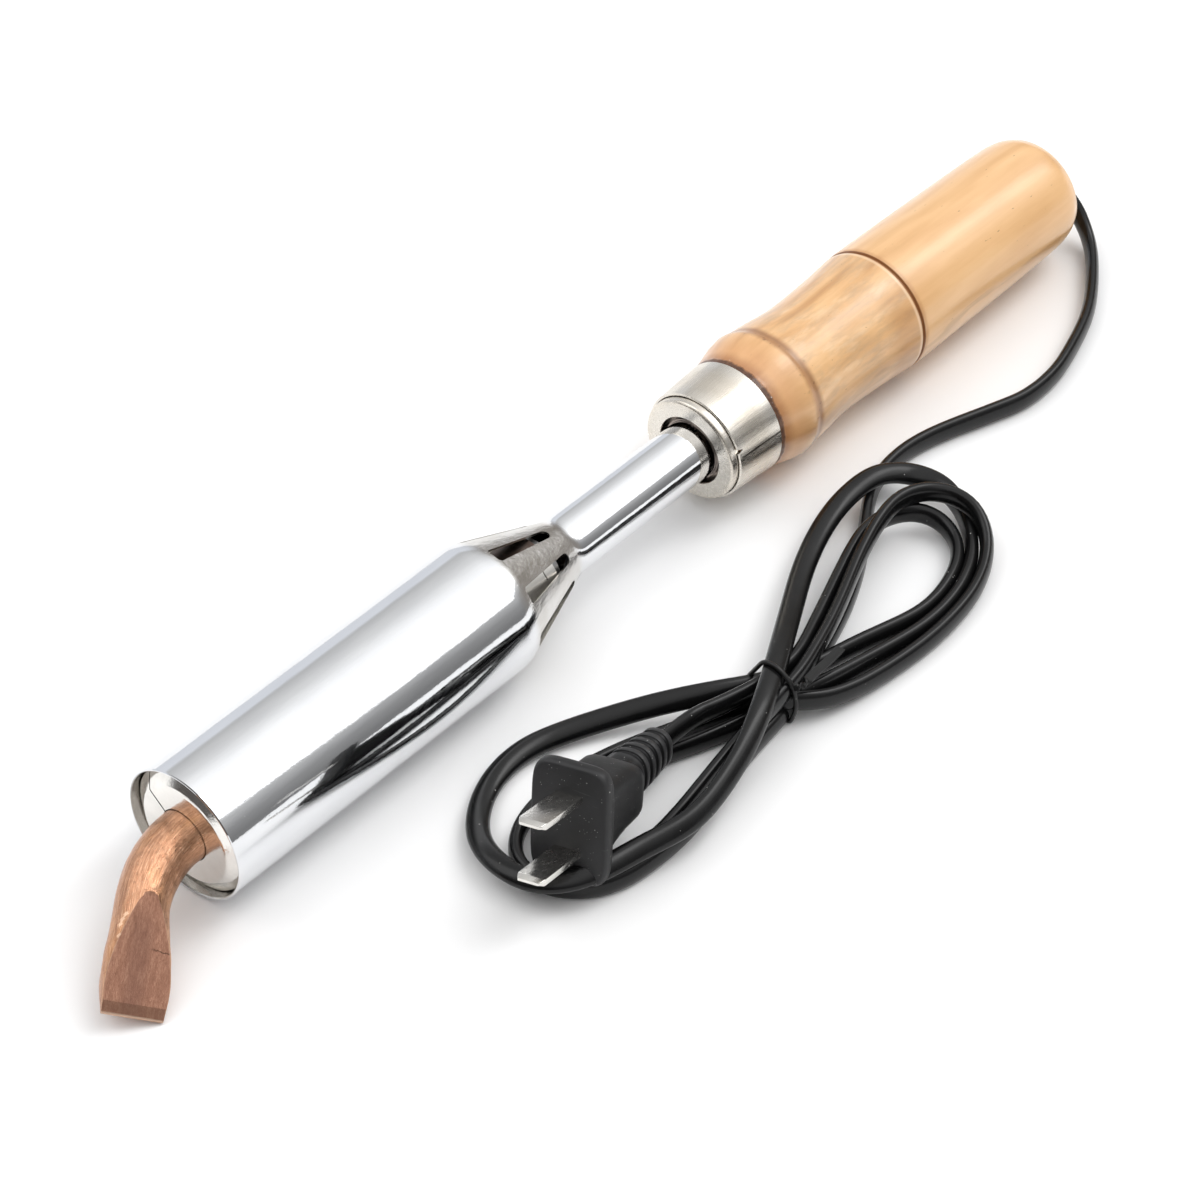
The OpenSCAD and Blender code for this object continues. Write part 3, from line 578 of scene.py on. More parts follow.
def m_wood():
    m = Mat("varnished_wood")
    x, y, z = m.xyz()
    warp = m.noise(1.0, 3, 0.5, m.map((26, 40, 40)))
    # growth lines: the pith is off to one side, so the lathe cuts them in long waves
    yy = m.math("ADD", y, m.math("MULTIPLY", m.rng(warp, 0.3, 0.7, -1, 1), 0.0022))
    zz = m.math("ADD", z, m.math("MULTIPLY", m.rng(warp, 0.3, 0.7, 1, -1), 0.0012))
    rr = m.math("SQRT", m.math("ADD", m.math("POWER", m.math("SUBTRACT", yy, 0.044), 2.0),
                               m.math("POWER", m.math("ADD", zz, 0.010), 2.0)))
    ring = m.rng(m.math("SINE", m.math("MULTIPLY", rr, 2 * math.pi / 0.0052)), -1, 1)
    fine = m.noise(1.0, 4, 0.6, m.map((40, 520, 520)))
    mid = m.noise(1.0, 4, 0.6, m.map((16, 120, 120)))
    tone = m.math("ADD", m.math("MULTIPLY", ring, 0.14), m.math("ADD", m.math("MULTIPLY", fine, 0.30), m.math("MULTIPLY", mid, 0.56)))
    grip = m.rng(x, fx(226), fx(230))
    tone = m.rng(tone, 0.34, 0.68)
    tone = m.math("ADD", m.math("MULTIPLY", tone, m.rng(grip, 0, 1, 1.0, 0.55)), m.math("MULTIPLY", grip, 0.27))
    col = m.ramp(tone, [(0.0, (0.60, 0.315, 0.125)), (0.35, (0.745, 0.430, 0.190)),
                        (0.7, (0.835, 0.510, 0.245)), (1.0, (0.885, 0.575, 0.300))])
    # the waist is more mottled, with slanting grain, and has pale patches of painted highlight
    mot = m.noise(1.0, 5, 0.62, m.map((90, 330, 330), rot=(0, 0.5, 0.5)))
    wst = m.band(x, fx(189.5), fx(226.5), 0.0012)
    col = m.mix(m.math("MULTIPLY", wst, m.rng(mot, 0.42, 0.66, 0.0, 0.55)), col, (0.50, 0.325, 0.190))
    # pale patches in the waist: painted highlight
    waist_highlight = m.noise(1.0, 4, 0.6, m.map((70, 260, 260), loc=(4, 1, 6), rot=(0, 0.5, 0.5)))
    col = m.mix(m.math("MULTIPLY", wst, m.rng(waist_highlight, 0.55, 0.72, 0.0, 0.4)), col, (0.95, 0.70, 0.44))
    # a few dark pin flecks, and one longer streak low on the near side
    fl = m.noise(1.0, 2, 0.5, m.map((420, 1700, 1700)))
    col = m.mix(m.rng(fl, 0.74, 0.78, 0.0, 0.7), col, (0.20, 0.08, 0.03))
    ang = m.math("ARCTAN2", m.math("SUBTRACT", z, H / 1000.0), m.math("SUBTRACT", y, OY / 1000.0))
    wav = m.noise(1.0, 3, 0.55, m.map((22, 60, 60), loc=(2, 7, 1)))
    sa = m.math("ADD", ang, m.rng(wav, 0.3, 0.7, -0.30, 0.30))
    streak = m.math("MULTIPLY", m.band(sa, -3.04, -2.86, 0.05), m.rng(m.noise(1.0, 3, 0.6, m.map((30, 300, 300))), 0.35, 0.6))
    col = m.mix(m.math("MULTIPLY", streak, 0.45), col, (0.42, 0.22, 0.085))
    # darker low on the near side, just before the groove
    low = m.math("MULTIPLY", m.band(x, fx(217.5), fx(226.6), 0.0035),
                 m.math("MULTIPLY", m.rng(z, (H + 13.5) / 1000, (H + 9) / 1000), m.rng(y, OY / 1000, (OY - 4) / 1000)))
    col = m.mix(m.math("MULTIPLY", low, 0.5), col, (0.48, 0.22, 0.07))
    # burnt ring behind the ferrule; a brown ring just behind the bead, painted shade of the step there; groove
    jig = m.math("MULTIPLY", m.rng(m.noise(1.0, 4, 0.7, m.map((60, 420, 420))), 0.3, 0.7, -1, 1), 0.0003)
    jig2 = m.math("MULTIPLY", m.rng(m.noise(1.0, 3, 0.6, m.map((40, 160, 160))), 0.3, 0.7, -1, 1), 0.00025)
    xj = m.math("ADD", x, jig)
    xk = m.math("ADD", x, jig2)
    ringb = m.band(xj, fx(174), fx(177.7), 0.0004)
    warm = m.math("MULTIPLY", m.rng(x, fx(187.5), fx(181.5)), 0.60)
    halo = m.math("MULTIPLY", m.rng(xj, fx(181.2), fx(177.6), smooth=True), 0.75)
    # brown ring behind the bead, with a darker core: painted shade of the step behind the bead
    bead_shade = m.math("MULTIPLY", m.band(xk, fx(187.0), fx(189.9), 0.0009), 0.72)
    core = m.math("MULTIPLY", m.band(xk, fx(188.4), fx(189.4), 0.0005), 0.30)
    fleck = m.math("MULTIPLY", m.rng(m.noise(1.0, 3, 0.6, m.map((500, 900, 900))), 0.60, 0.68), m.band(x, fx(186.5), fx(190), 0.001))
    gro = m.band(x, fx(226.5), fx(227.6), 0.00015)
    grl = m.math("MULTIPLY", m.band(x, fx(225.7), fx(226.4), 0.0003), 0.45)
    grh = m.math("MULTIPLY", m.band(xk, fx(226.2), fx(228.4), 0.0005), 0.35)
    dark = (0.095, 0.034, 0.013)
    col = m.mix(warm, col, (0.74, 0.375, 0.165))
    col = m.mix(halo, col, (0.36, 0.135, 0.042))
    col = m.mix(bead_shade, col, (0.34, 0.145, 0.052))
    col = m.mix(core, col, (0.17, 0.065, 0.022))
    col = m.mix(m.math("MULTIPLY", fleck, 0.5), col, (0.12, 0.045, 0.018))
    col = m.mix(grh, col, (0.50, 0.21, 0.070))
    col = m.mix(grl, col, (0.96, 0.74, 0.50))
    col = m.mix(m.math("MULTIPLY", gro, 0.85), col, (0.28, 0.105, 0.034))
    burn = m.noise(1.0, 4, 0.7, m.map((900, 900, 900)))
    col = m.mix(m.math("MULTIPLY", ringb, m.rng(burn, 0.25, 0.6, 0.72, 1.0)), col, dark)
    ash = m.math("MULTIPLY", m.rng(m.voronoi(1.0, m.map((900, 900, 900))), 0.10, 0.16, 1.0, 0.0), m.band(x, fx(177.3), fx(178.6), 0.0003))
    ash = m.math("MULTIPLY", ash, m.rng(m.noise(1.0, 2, 0.5, m.map((400, 400, 400))), 0.52, 0.60))
    col = m.mix(m.math("MULTIPLY", ash, 0.8), col, (0.80, 0.74, 0.68))
    wear = m.noise(1.0, 5, 0.6, m.map((90, 90, 90)))
    rough = m.math("ADD", m.rng(wear, 0.35, 0.7, 0.30, 0.40), m.math("MULTIPLY", ringb, 0.35))
    m.set(Base_Color=col, Roughness=rough, Coat_Weight=0.6, Coat_Roughness=0.16, Specular_IOR_Level=0.45)
    m.bump(fine, 0.05, 0.0002).bump(m.math("MULTIPLY", m.noise(1.0, 4, 0.7, m.map((900, 900, 900))), ringb), 0.9, 0.0012)
    m.bump(wear, 0.05, 0.0004)
    return m.m


def m_black(name, base=(0.012, 0.012, 0.013), rough=0.36, dusty=1.0, stretch=(1, 1, 1), rim=False):
    m = Mat(name)
    n1 = m.noise(1.0, 5, 0.6, m.map(tuple(150 * s for s in stretch)))
    n2 = m.noise(1.0, 3, 0.6, m.map((1600, 1600, 1600)))
    col = m.mix(m.rng(n1, 0.35, 0.72), base, tuple(c * 1.5 + 0.001 for c in base))
    # pale dust specks and lint
    v = m.voronoi(760)
    keep = m.noise(1.0, 2, 0.5, m.map((300, 300, 300), loc=(5, 2, 9)))
    sp = m.math("MULTIPLY", m.rng(v, 0.07, 0.14, 1.0, 0.0), m.rng(keep, 0.62, 0.66))
    smear = m.rng(m.noise(1.0, 7, 0.72, m.map((330, 330, 330))), 0.62, 0.85, 0.0, 0.035)
    col = m.mix(m.math("MULTIPLY", sp, 0.8 * dusty), col, (0.50, 0.49, 0.47))
    col = m.mix(m.math("MULTIPLY", smear, dusty), col, (0.30, 0.29, 0.28))
    if rim:                              # fine scratches, more specks, and painted highlights on the sharp edges
        scr = m.noise(1.0, 3, 0.6, m.map((200, 200, 2600), rot=(0.5, 0.2, 0.3)))
        col = m.mix(m.rng(scr, 0.66, 0.76, 0.0, 0.10), col, (0.34, 0.34, 0.34))
        v2 = m.rng(m.voronoi(1500), 0.09, 0.16, 1.0, 0.0)
        k2 = m.rng(m.noise(1.0, 2, 0.5, m.map((420, 420, 420), loc=(1, 6, 3))), 0.55, 0.60)
        col = m.mix(m.math("MULTIPLY", m.math("MULTIPLY", v2, k2), 0.7), col, (0.46, 0.455, 0.44))
        # sharp edges lighter grey: painted edge highlight
        col = m.mix(m.math("MULTIPLY", m.edge(0.515, 0.575), 0.40), col, (0.17, 0.17, 0.175))
    m.set(Base_Color=col, Roughness=m.math("ADD", m.rng(n1, 0.3, 0.75, rough - 0.03, rough + 0.06), m.math("MULTIPLY", sp, 0.3)),
          Specular_IOR_Level=0.32 if not rim else 0.26)
    m.bump(n1, 0.08, 0.0004).bump(n2, 0.10, 0.00012)
    return m.m


def m_flat(name, c1, c2, rough, metallic=0.0, scale=240, bump=0.2, alpha=None):
    m = Mat(name)
    n = m.noise(1.0, 6, 0.62, m.map((scale, scale, scale)))
    f = m.noise(1.0, 3, 0.6, m.map((scale * 6, scale * 6, scale * 6)))
    m.set(Base_Color=m.mix(m.rng(n, 0.3, 0.72), c1, c2), Metallic=metallic, Roughness=m.rng(n, 0.3, 0.75, rough - 0.05, rough + 0.1))
    m.bump(n, bump, 0.0004).bump(f, bump * 0.6, 0.00015)
    return m.m


MAT = {
    "copper": m_copper(), "bright_chrome": m_chrome(), "polished_nickel": m_nickel("polished_nickel", (0.92, 0.90, 0.86), 0.085), "satin_nickel": m_nickel(),
    # dark_steel: partly its own rusty brown, partly darkened as painted shade inside the ferrule's hole
    "dull_steel": m_steel("dull_steel"), "dark_steel": m_steel("dark_steel", (0.36, 0.305, 0.27), 0.34), "bright_screw": m_steel("bright_screw", (0.62, 0.62, 0.63), 0.28),
    "tinned": m_nickel("tinned", (0.80, 0.78, 0.74), 0.36), "mica": m_flat("mica", (0.50, 0.40, 0.25), (0.66, 0.56, 0.38), 0.4),
    "resistance_wire": m_steel("resistance_wire", (0.20, 0.19, 0.18), 0.5),
    "ceramic": m_flat("ceramic", (0.80, 0.76, 0.68), (0.88, 0.85, 0.79), 0.5),
    "brass_screw": m_flat("brass_screw", (0.62, 0.45, 0.18), (0.72, 0.56, 0.26), 0.3, 1.0),
    "varnished_wood": m_wood(), "cord_black": m_black("cord_black", base=(0.004, 0.004, 0.0042), rough=0.22),
    "plug_black": m_black("plug_black", base=(0.0075, 0.0075, 0.008), rough=0.42, dusty=1.25, rim=True),
    "insert_grey": m_flat("insert_grey", (0.10, 0.10, 0.11), (0.15, 0.15, 0.16), 0.5),
    "tie_black": m_black("tie_black", base=(0.010, 0.010, 0.010), rough=0.30, dusty=0.6),
    "blade_nickel": m_nickel("blade_nickel", (0.80, 0.78, 0.74), 0.20),
    "core_brown": m_flat("core_brown", (0.22, 0.07, 0.03), (0.30, 0.10, 0.045), 0.4),
    "core_blue": m_flat("core_blue", (0.03, 0.10, 0.35), (0.05, 0.14, 0.42), 0.4),
}


def dress(o, slot_name):
    o.data.materials.clear()
    o.data.materials.append(MAT[slot_name])
    return o


for sp in frame["record"]["subparts"]:
    o = frame["nodes"].get(sp["node"])
    if o is not None:
        for i in range(max(1, len(o.material_slots))):
            if len(o.material_slots) <= i:
                o.data.materials.append(MAT[sp["material_slot"]])
            else:
                o.material_slots[i].material = MAT[sp["material_slot"]]


# ---------------------------------------------------------------- pieces
def give(o, slot_name, body, *nodes):
    dress(o, slot_name)
    if nodes:
        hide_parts(*nodes)
    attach(o, body)
    return o


# --- copper bit
def rough_field(seed):
    """a smooth repeatable bump field made of a few waves"""
    rs = np.random.RandomState(seed)
    k = rs.normal(0, 1, (14, 3))
    k /= np.linalg.norm(k, axis=1)[:, None]
    fr = rs.uniform(0.5, 1.6, 14)[:, None]
    ph = rs.uniform(0, 6.28, 14)
    return lambda p, sc: (np.sin(p @ (k * fr).T * sc + ph).sum(-1)) / 5.0


fld = rough_field(7)
unbent = []
NQ = 34
NB = 4 * NQ
rings = []
ss = np.concatenate([np.arange(-ARC - 68, -ARC - 1, 3.0), np.arange(-ARC - 0.6, -3.9, 0.45), np.arange(-3.7, 18.95, 0.35),
                     [19.1, 19.3, 20.0, 20.7, 21.3, 21.5, 21.6]])
uu = np.arange(NQ) / NQ
for s in ss:
    c, t, w, n = bit_frame(s)
    k = 0.985
    r, b, u, l = k * ROD, k * bit_width(s), top_h(s), low_h(s)
    au, al = math.asin(min(0.966, u / r)), math.asin(min(0.966, l / r))
    ang = np.concatenate([-al + (au + al) * uu, au + (math.pi - 2 * au) * uu, math.pi - au + (au + al) * uu, math.pi + al + (math.pi - 2 * al) * uu])
    e, h = b * np.cos(ang), np.clip(r * np.sin(ang), -l, u)
    onflat = np.zeros(NB)
    if s > -3.7:
        onflat[NQ:2 * NQ + 1] = 1
        onflat[3 * NQ:] = 1
        onflat[0] = 1
    p = c + e[:, None] * w + h[:, None] * n
    out = p - c
    out /= np.maximum(np.linalg.norm(out, axis=1), 1e-6)[:, None]
    g = np.clip((s + ARC + 1.0) / 4.0, 0, 1)          # the shank inside is smooth
    amp = 0.09 + 0.07 * np.clip((s + 12) / 12, 0, 1)
    dent = np.clip(0.08 + amp * (0.5 + 0.5 * fld(p, 0.55)) + 0.04 * fld(p, 2.1), 0.0, 0.45)
    dent = np.where(onflat > 0, 0.03 + 0.02 * fld(p, 0.8), dent)
    side = np.clip(h / max(0.3, min(u, l)), -1, 1)
    if s > 14:
        dent = dent * np.clip((22.5 - s) / 8.5, 0.12, 1)
    p = p - out * (g * dent)[:, None]
    rings.append(A(p))
    unbent.append(np.stack([np.full(NB, s), ROD * np.cos(ang), ROD * np.sin(ang)], 1))
bit = loft("chisel_bit", rings, True, 34.0)
i0_ = int(np.argmax(ss > -3.0))
i1_ = int(np.argmin(np.abs(ss - 19.1)))
keyed = set()
for i in range(i0_, len(ss) - 1):
    for j in (0, NQ, 2 * NQ, 3 * NQ):
        keyed.add((i * NB + j, (i + 1) * NB + j))
for j in range(NQ, 2 * NQ):
    keyed.add((i1_ * NB + j, i1_ * NB + j + 1))
for ed_ in bit.data.edges:
    a_, b_ = sorted(ed_.vertices)
    if (a_, b_) in keyed:
        ed_.use_edge_sharp = True
rod_at = bit.data.attributes.new("rod", "FLOAT_VECTOR", "POINT")
rod_at.data.foreach_set("vector", np.concatenate(unbent).astype(np.float32).ravel())
give(bit, "copper", "bit", "copper_bit")

# --- handle, turned
WOOD = [(164, 12.9), (170, 13.28), (176.3, 13.68), (176.5, 14.3), (177.0, 14.38), (178.2, 14.40), (178.8, 14.50), (180, 14.8),
        (181, 15.1), (182.5, 15.5), (184, 15.88), (185.3, 16.15), (186.5, 16.26), (187.4, 16.18), (188.0, 15.98), (188.4, 15.90),
        (190, 15.82), (192.5, 15.64), (195, 15.4), (198.5, 15.0), (202, 14.72), (206, 14.70), (210, 14.83), (214, 15.0),
        (218, 15.2), (222.5, 15.56), (226.3, 15.86), (226.6, 15.80), (226.8, 15.35), (227.3, 15.33), (227.5, 15.85), (227.9, 15.98),
        (234, 15.93), (240, 15.84), (248, 15.72), (256, 15.6), (264, 15.46), (272, 15.3), (279, 15.13), (284, 14.93),
        (286, 14.72), (287.6, 14.42), (289, 13.95), (290.1, 13.35), (290.8, 12.75), (291.15, 12.1), (291.2, 10.5),
        (291.2, 7.0), (291.2, 4.3), (291.0, 3.8), (290.5, 3.5), (262, 3.5), (236, 3.5), (236, 8), (200, 8), (164, 8)]


def dense(P, step):
    out = []
    for (x0, r0), (x1, r1) in zip(P[:-1], P[1:]):
        k = max(1, int(math.hypot(x1 - x0, r1 - r0) / step))
        out += [(x0 + (x1 - x0) * i / k, r0 + (r1 - r0) * i / k) for i in range(k)]
    return out + [P[-1]]


def smooth_profile(P, keep):
    P = np.array(P, float)
    for _ in range(2):
        Q = P.copy()
        for i in range(1, len(P) - 1):
            if keep(P[i][0]):
                Q[i, 1] = (P[i - 1, 1] + 2 * P[i, 1] + P[i + 1, 1]) / 4
        P = Q
    return P


def wob_wood(x, r, a):
    if r < 12:
        return 0.0 * a
    w = 0.015 * np.sin(2 * a + x * 0.05) + 0.01 * np.sin(5 * a + x * 0.3)
    if 176.4 < x < 178.6:            # charred, rough end of the wood
        w = w - 0.06 + 0.035 * np.sin(23 * a + 3 * math.sin(x * 9)) * np.sin(11 * a + x * 7) - 0.025 * np.sin(61 * a + x * 13)
    return w - 0.02


wp = dense(WOOD, 0.7)
wp = smooth_profile(wp, lambda x: (179 < x < 186) or (190 < x < 226) or (229 < x < 290))
wood = lathe("wood_handle", wp, 224, 30.0, wob_wood)
give(wood, "varnished_wood", "iron", "handle")

# --- twist tie and plug come after the cord
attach(cord, "iron")
dress(cord, "cord_black")

# plug body: superellipse sections, x from the face
PB_ = [(0.0, 8.35, 12.85, 0.36), (0.2, 8.75, 13.25, 0.36), (0.6, 9.0, 13.5, 0.36), (1.2, 9.1, 13.6, 0.36),
       (2.4, 9.1, 13.6, 0.36), (2.85, 9.0, 13.5, 0.36), (3.12, 8.75, 13.25, 0.36), (3.22, 8.35, 8.6, 0.38), (3.5, 8.15, 8.1, 0.38),
       (5, 7.85, 7.8, 0.38), (8, 7.45, 7.45, 0.38), (11, 7.15, 7.1, 0.38), (13.7, 6.95, 6.85, 0.38), (16.5, 7.0, 6.62, 0.38),
       (19, 7.05, 6.35, 0.38), (20.2, 6.95, 6.0, 0.4), (21.0, 6.6, 5.6, 0.45), (21.6, 6.1, 5.2, 0.52), (22.1, 5.4, 4.85, 0.62),
       (22.6, 5.0, 4.75, 0.72), (24.9, 4.85, 5.15, 0.8)]
x = 25.0
for w0, h0 in ((4.75, 5.2), (4.55, 5.05), (4.3, 4.85), (4.0, 4.6), (3.75, 4.4)):
    PB_ += [(x + 0.10, w0 * 0.90, h0 * 0.94, 0.8), (x + 0.35, w0 * 0.86, h0 * 0.915, 0.8), (x + 1.15, w0 * 0.855, h0 * 0.91, 0.8),
            (x + 1.38, w0 * 0.89, h0 * 0.935, 0.8), (x + 1.5, w0 * 0.97, h0 * 0.985, 0.8), (x + 1.75, w0, h0, 0.8),
            (x + 2.7, w0 * 0.99, h0 * 0.995, 0.8), (x + 2.95, w0 * 0.95, h0 * 0.975, 0.8)]
    x += 3.1
PB_ += [(40.3, 3.35, 4.1, 0.8), (40.6, 3.0, 3.75, 0.8)]
aa = (np.arange(96) + 0.5) / 96 * 2 * math.pi
rings = []
for u_, hb, hc, pw_ in PB_:
    cb = np.sign(np.cos(aa)) * np.abs(np.cos(aa)) ** pw_
    sb = np.sign(np.sin(aa)) * np.abs(np.sin(aa)) ** pw_
    rings.append(G(P(0) + u_ * PU + (hb * cb)[:, None] * PB + (hc * sb)[:, None] * PC))
plug = loft("plug_moulding", rings, True, 32.0)
give(plug, "plug_black", "iron", "plug_body")

# blades: bevelled tips
def blade(name, side, node, lift):
    hw, ht = 3.175, 0.75
    prof = [(-17.0, 0.30, 2.35), (-16.6, 0.36, 2.65), (-15.6, 0.75, 3.1), (-15.2, 0.75, 3.175), (-8, 0.75, 3.175), (0, 0.75, 3.175), (7.2, 0.75, 3.175)]
    rings = []
    for u_, t_, w_ in prof:
        r_ = 0.16
        pts = []
        for sb_, sc_ in ((1, 1), (-1, 1), (-1, -1), (1, -1)):
            for k in range(4):
                th_ = math.radians(30 * k + {(1, 1): 0, (-1, 1): 90, (-1, -1): 180, (1, -1): 270}[(sb_, sc_)])
                pts.append((sb_ * (w_ - r_) + r_ * math.cos(th_), sc_ * (t_ - r_) + r_ * math.sin(th_)))
        pts = np.array(pts)
        bend = max(0.0, -u_ - 1.0) * math.tan(math.radians(lift))
        rings.append(G(P(0) + u_ * PU + pts[:, :1] * PB + (pts[:, 1:] + side * 6.35 + bend) * PC))
    return give(loft(name, rings, True, 30.0), "blade_nickel", "iron", node)


bl1 = blade("plug_pin_upper", 1, "plug_blade_live", 4.5)
bl2 = blade("plug_pin_lower", -1, "plug_blade_neutral", 3.5)

# --- twist tie: a flat covered wire round the bundle, its ends twisted and laid back
TX = 120.5
near = RC[(np.abs(RC[:, 0] - TX) < 1.3) & (RC[:, 1] < -30)]
pts = []
for _, y_, z_, ro_ in near:
    ro_ = math.radians(ro_)
    for k in np.linspace(0, 2 * math.pi, 16, endpoint=False):
        a_, b_ = TH / 2 * math.cos(k), WD / 2 * math.sin(k)
        pts.append((y_ + a_ * math.cos(ro_) + b_ * math.sin(ro_), z_ - a_ * math.sin(ro_) + b_ * math.cos(ro_)))
pts = sorted(set(pts))


def half(seq):
    out = []
    for p_ in seq:
        while len(out) > 1 and (out[-1][0] - out[-2][0]) * (p_[1] - out[-2][1]) - (out[-1][1] - out[-2][1]) * (p_[0] - out[-2][0]) <= 0:
            out.pop()
        out.append(p_)
    return out[:-1]


hull = np.array(half(pts) + half(pts[::-1]))
mid_ = hull.mean(0)
hull = resample(np.vstack([hull, hull[:1]]), 0.6)[:-1]
for _ in range(3):
    hull = 0.25 * np.roll(hull, 1, 0) + 0.5 * hull + 0.25 * np.roll(hull, -1, 0)
tg = np.roll(hull, -1, 0) - np.roll(hull, 1, 0)
tg /= np.linalg.norm(tg, axis=1)[:, None]
hull = hull + 0.6 * np.stack([tg[:, 1], -tg[:, 0]], 1)
hull[:, 1] = np.maximum(hull[:, 1], 0.56)
print("tie", hull.min(0), hull.max(0), len(near))
tg = np.roll(hull, -1, 0) - np.roll(hull, 1, 0)
tg /= np.linalg.norm(tg, axis=1)[:, None]
rings = []
for (y_, z_), (ty, tz) in zip(hull, tg):
    k = np.linspace(0, 2 * math.pi, 12, endpoint=False)
    rings.append(G(np.stack([TX + 0.4 * math.sin(0.25 * y_) + 0.55 * np.cos(k), y_ + 0.52 * np.sin(k) * tz, z_ - 0.52 * np.sin(k) * ty], 1)))
tie1 = loft("twist_tie", rings, True, 60.0, closed=True)
give(tie1, "tie_black", "iron", "cord_tie")


def over(x_, y_, need):
    """height that clears the cord near a place, seen from above"""
    d_ = np.hypot(RC[:, 0] - x_, RC[:, 1] - y_)
    hz_ = np.abs(np.cos(np.radians(RC[:, 3]))) * WD / 2 + np.abs(np.sin(np.radians(RC[:, 3]))) * TH / 2
    ok = d_ < need
    return float((RC[ok, 2] + hz_[ok]).max()) if ok.any() else 0.0


# its end: the two ends twisted together, then laid flat along the cords
tz0 = 9.0
tops = [over(121.4 + 17.4 * q_, -63.1 + 1.7 * q_, 2.0) for q_ in np.linspace(0.1, 1, 12)]
lift = max(0.0, max(tops) + 0.35 - tz0)
print("tail lift", lift, np.round(tops, 1))
shift = np.array([-0.5555, -0.4834, 0.6767]) * lift / 0.6767
tw = np.linspace(0, 1, 64)
tx = np.stack([120.9 + 17.6 * tw, -63.6 + 2.1 * tw + 0.25 * np.sin(5 * tw), tz0 + 0.1 * np.sin(6 * tw)], 1) + shift[None]
j_ = int(np.argmin(np.hypot(hull[:, 0] - tx[0, 1], hull[:, 1] - tx[0, 2])))
root = np.array([TX, hull[j_, 0], hull[j_, 1]])
tx = tx + (root - tx[0])[None] * (np.clip(1 - tw / 0.22, 0, 1) ** 2)[:, None]
turns = np.clip(1 - tw / 0.30, 0, 1)
twist = np.stack([0 * tw, np.cos(9.0 * turns), np.sin(9.0 * turns)], 1)
T_ = np.gradient(tx, axis=0)
T_ /= np.linalg.norm(T_, axis=1)[:, None]
W_ = twist - (twist * T_).sum(1)[:, None] * T_
W_ /= np.linalg.norm(W_, axis=1)[:, None]
N_ = np.cross(T_, W_)
sec = np.array([(1, 0.35), (0.9, 0.5), (0, 0.36), (-0.9, 0.5), (-1, 0.35), (-1, -0.35), (-0.9, -0.5), (0, -0.36), (0.9, -0.5), (1, -0.35)])
rings = []
for i in range(len(tx)):
    wi = 1.1 - 0.35 * float(turns[i] > 0) * min(1.0, turns[i] * 4)
    rings.append(G(tx[i] + (sec[:, :1] * wi) * W_[i] + (sec[:, 1:] * 0.55) * N_[i]))
tie2 = loft("twist_tie_end", rings, True, 40.0)
give(tie2, "tie_black", "iron")

# cores of the winding, screws and the rest keep their CAD shapes, with their materials
for nm in ("clamp_screw", "terminal_screws", "clip_screws", "flange_screws"):
    o = frame["nodes"].get(nm)
    if o is not None:
        bv = o.modifiers.new("edge", "BEVEL")
        bv.width = 0.0002
        bv.segments = 2
        bv.limit_method = "ANGLE"

# ---------------------------------------------------------------- floor and light
fl = mesh("floor", [(-3, -3, -0.0002), (3, -3, -0.0002), (3, 3, -0.0002), (-3, 3, -0.0002)], [(0, 1, 2, 3)])
mf = Mat("floor_white")
mf.set(Base_Color=mf.mix(mf.rng(mf.noise(1.0, 3, 0.5, mf.map((2.0, 2.0, 2.0))), 0.3, 0.7), (0.93, 0.93, 0.932), (0.95, 0.95, 0.951)), Roughness=0.9)
fl.data.materials.append(mf.m)

wld = bpy.data.worlds.new("studio")
scene.world = wld
wld.use_nodes = True
wt = wld.node_tree
wt.nodes.clear()
wo = wt.nodes.new("ShaderNodeOutputWorld")
bg = wt.nodes.new("ShaderNodeBackground")
# a light tent: brightest overhead, a pale sweep behind, darker low in front
wc = wt.nodes.new("ShaderNodeTexCoord")
ws = wt.nodes.new("ShaderNodeSeparateXYZ")
wt.links.new(wc.outputs["Generated"], ws.inputs[0])
wa = wt.nodes.new("ShaderNodeMath")
wa.operation = "ARCTAN2"
wt.links.new(ws.outputs[2], wa.inputs[0])
wt.links.new(ws.outputs[1], wa.inputs[1])
wm = wt.nodes.new("ShaderNodeMapRange")
wm.inputs["From Min"].default_value = -math.pi
wm.inputs["From Max"].default_value = math.pi
wt.links.new(wa.outputs[0], wm.inputs["Value"])
wr = wt.nodes.new("ShaderNodeValToRGB")
wt.links.new(wm.outputs[0], wr.inputs[0])
TENT = [(-180, 0.22), (-172, 0.85), (-62, 0.85), (-40, 0.75), (-5, 0.77), (20, 0.8), (26, 0.54), (54, 0.78), (78, 1.15),
        (98, 1.3), (118, 1.3), (129, 1.05), (145, 0.54), (160, 0.31), (174, 0.22), (180, 0.22)]
el = wr.color_ramp.elements
while len(el) < len(TENT):
    el.new(0.5)
for k_, (dg, v_) in zip(el, TENT):
    k_.position = (dg + 180) / 360
    f_ = v_ / 1.3
    k_.color = (f_ * (0.95 if -10 < dg < 25 else 1.0), f_ * (0.975 if -10 < dg < 25 else 1.0), f_ * (1.03 if -10 < dg < 25 else 1.0), 1.0)
# the room is darker low down beyond the handle's end
wx = wt.nodes.new("ShaderNodeMapRange")
wx.interpolation_type = "SMOOTHSTEP"
wx.inputs["From Min"].default_value = 0.62
wx.inputs["From Max"].default_value = 0.88
wt.links.new(ws.outputs[0], wx.inputs["Value"])
wz = wt.nodes.new("ShaderNodeMapRange")
wz.inputs["From Min"].default_value = 0.55
wz.inputs["From Max"].default_value = 0.30
wt.links.new(ws.outputs[2], wz.inputs["Value"])
wb = wt.nodes.new("ShaderNodeMath")
wb.operation = "MULTIPLY"
wt.links.new(wx.outputs[0], wb.inputs[0])
wt.links.new(wz.outputs[0], wb.inputs[1])
wk = wt.nodes.new("ShaderNodeMix")
wk.data_type = "RGBA"
wt.links.new(wb.outputs[0], wk.inputs[0])
wt.links.new(wr.outputs[0], wk.inputs[6])
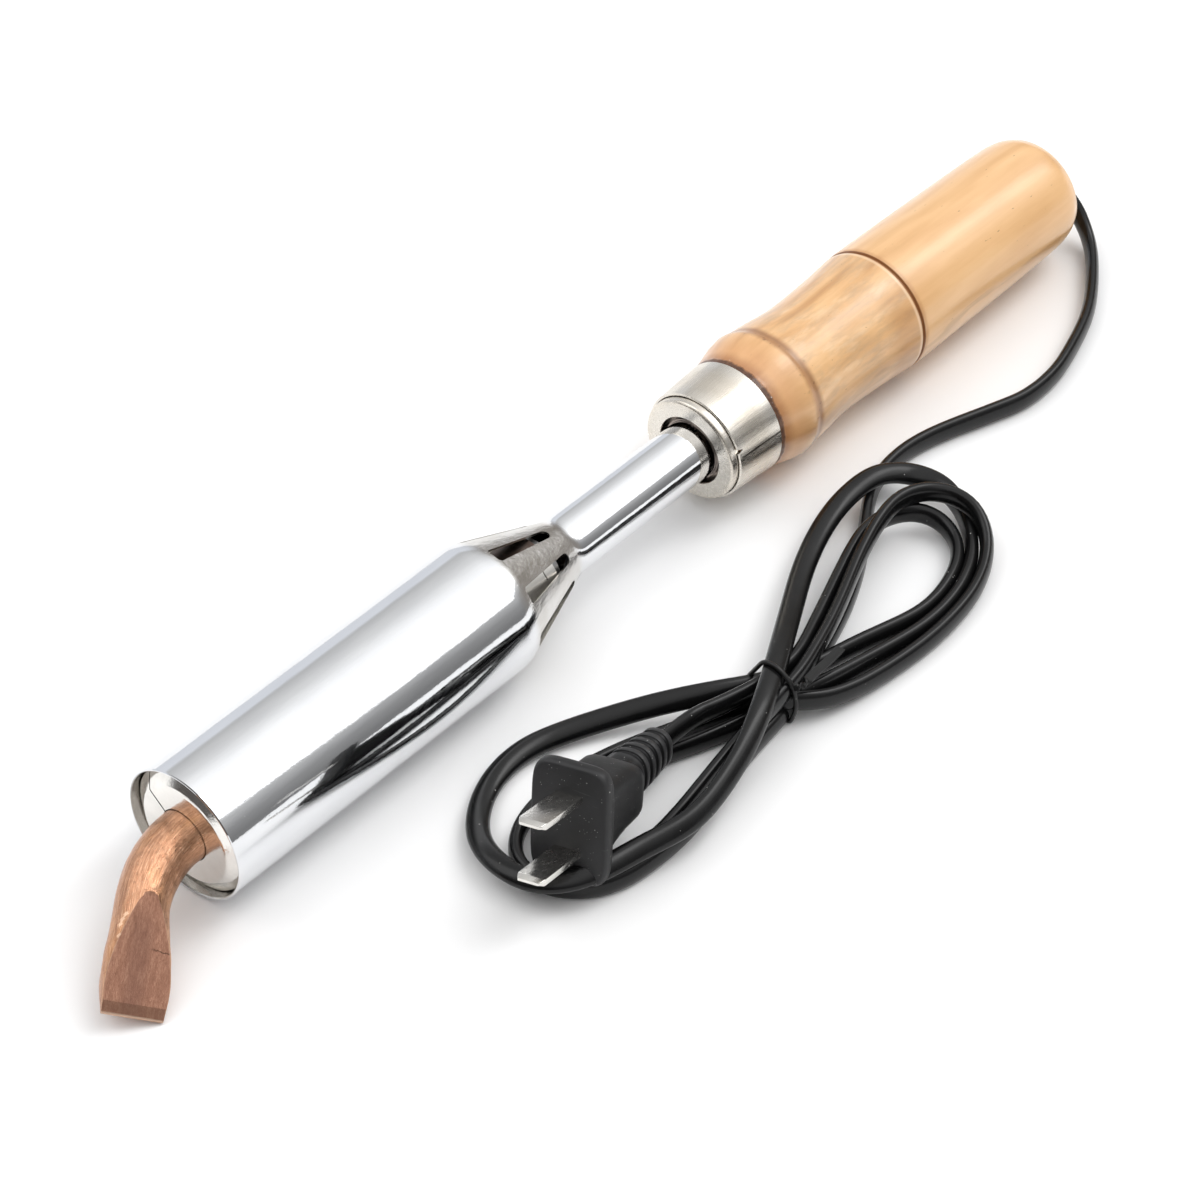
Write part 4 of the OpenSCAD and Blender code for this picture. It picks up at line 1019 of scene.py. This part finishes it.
wk.inputs[7].default_value = (0.21, 0.195, 0.18, 1.0)


def wrange(sock, a, b):
    n = wt.nodes.new("ShaderNodeMapRange")
    n.interpolation_type = "SMOOTHSTEP"
    n.inputs["From Min"].default_value = a
    n.inputs["From Max"].default_value = b
    wt.links.new(sock, n.inputs["Value"])
    return n.outputs[0]


def wmul(a, b):
    n = wt.nodes.new("ShaderNodeMath")
    n.operation = "MULTIPLY"
    for i, v in enumerate((a, b)):
        if hasattr(v, "is_linked"):
            wt.links.new(v, n.inputs[i])
        else:
            n.inputs[i].default_value = v
    return n.outputs[0]


def wmix(f, a, b, mode="MIX"):
    n = wt.nodes.new("ShaderNodeMix")
    n.data_type = "RGBA"
    n.blend_type = mode
    wt.links.new(f, n.inputs[0])
    wt.links.new(a, n.inputs[6])
    n.inputs[7].default_value = b
    return n.outputs[2]


behind = wmul(wrange(ws.outputs[0], -0.55, -0.80), wrange(ws.outputs[2], 0.80, 0.60))
wcol = wmix(behind, wk.outputs[2], (0.085, 0.08, 0.078, 1.0))
rad = math.pi / 180
box = wmul(wmul(wrange(wa.outputs[0], 92 * rad, 97 * rad), wrange(wa.outputs[0], 119 * rad, 113 * rad)),
           wmul(wrange(ws.outputs[0], 0.12, 0.26), wrange(ws.outputs[0], 0.86, 0.76)))
wcol = wmix(box, wcol, (2.9, 2.9, 2.9, 1.0))
wt.links.new(wcol, bg.inputs[0])
bg.inputs[1].default_value = 1.36
wt.links.new(bg.outputs[0], wo.inputs[0])


def area(name, loc, target, size, power, size_y=None):
    d = bpy.data.lights.new(name, "AREA")
    d.shape = "RECTANGLE"
    d.size = size
    d.size_y = size_y or size
    d.energy = power
    o = link(bpy.data.objects.new(name, d))
    o.location = loc
    o.rotation_euler = (Vector(target) - Vector(loc)).to_track_quat("-Z", "Y").to_euler()
    return o


area("key", (-0.35, 0.75, 1.05), (0, 0, 0), 0.9, 3.0)
area("fill", (0.7, -0.53, 1.0), (0, 0, 0), 0.9, 2.2)
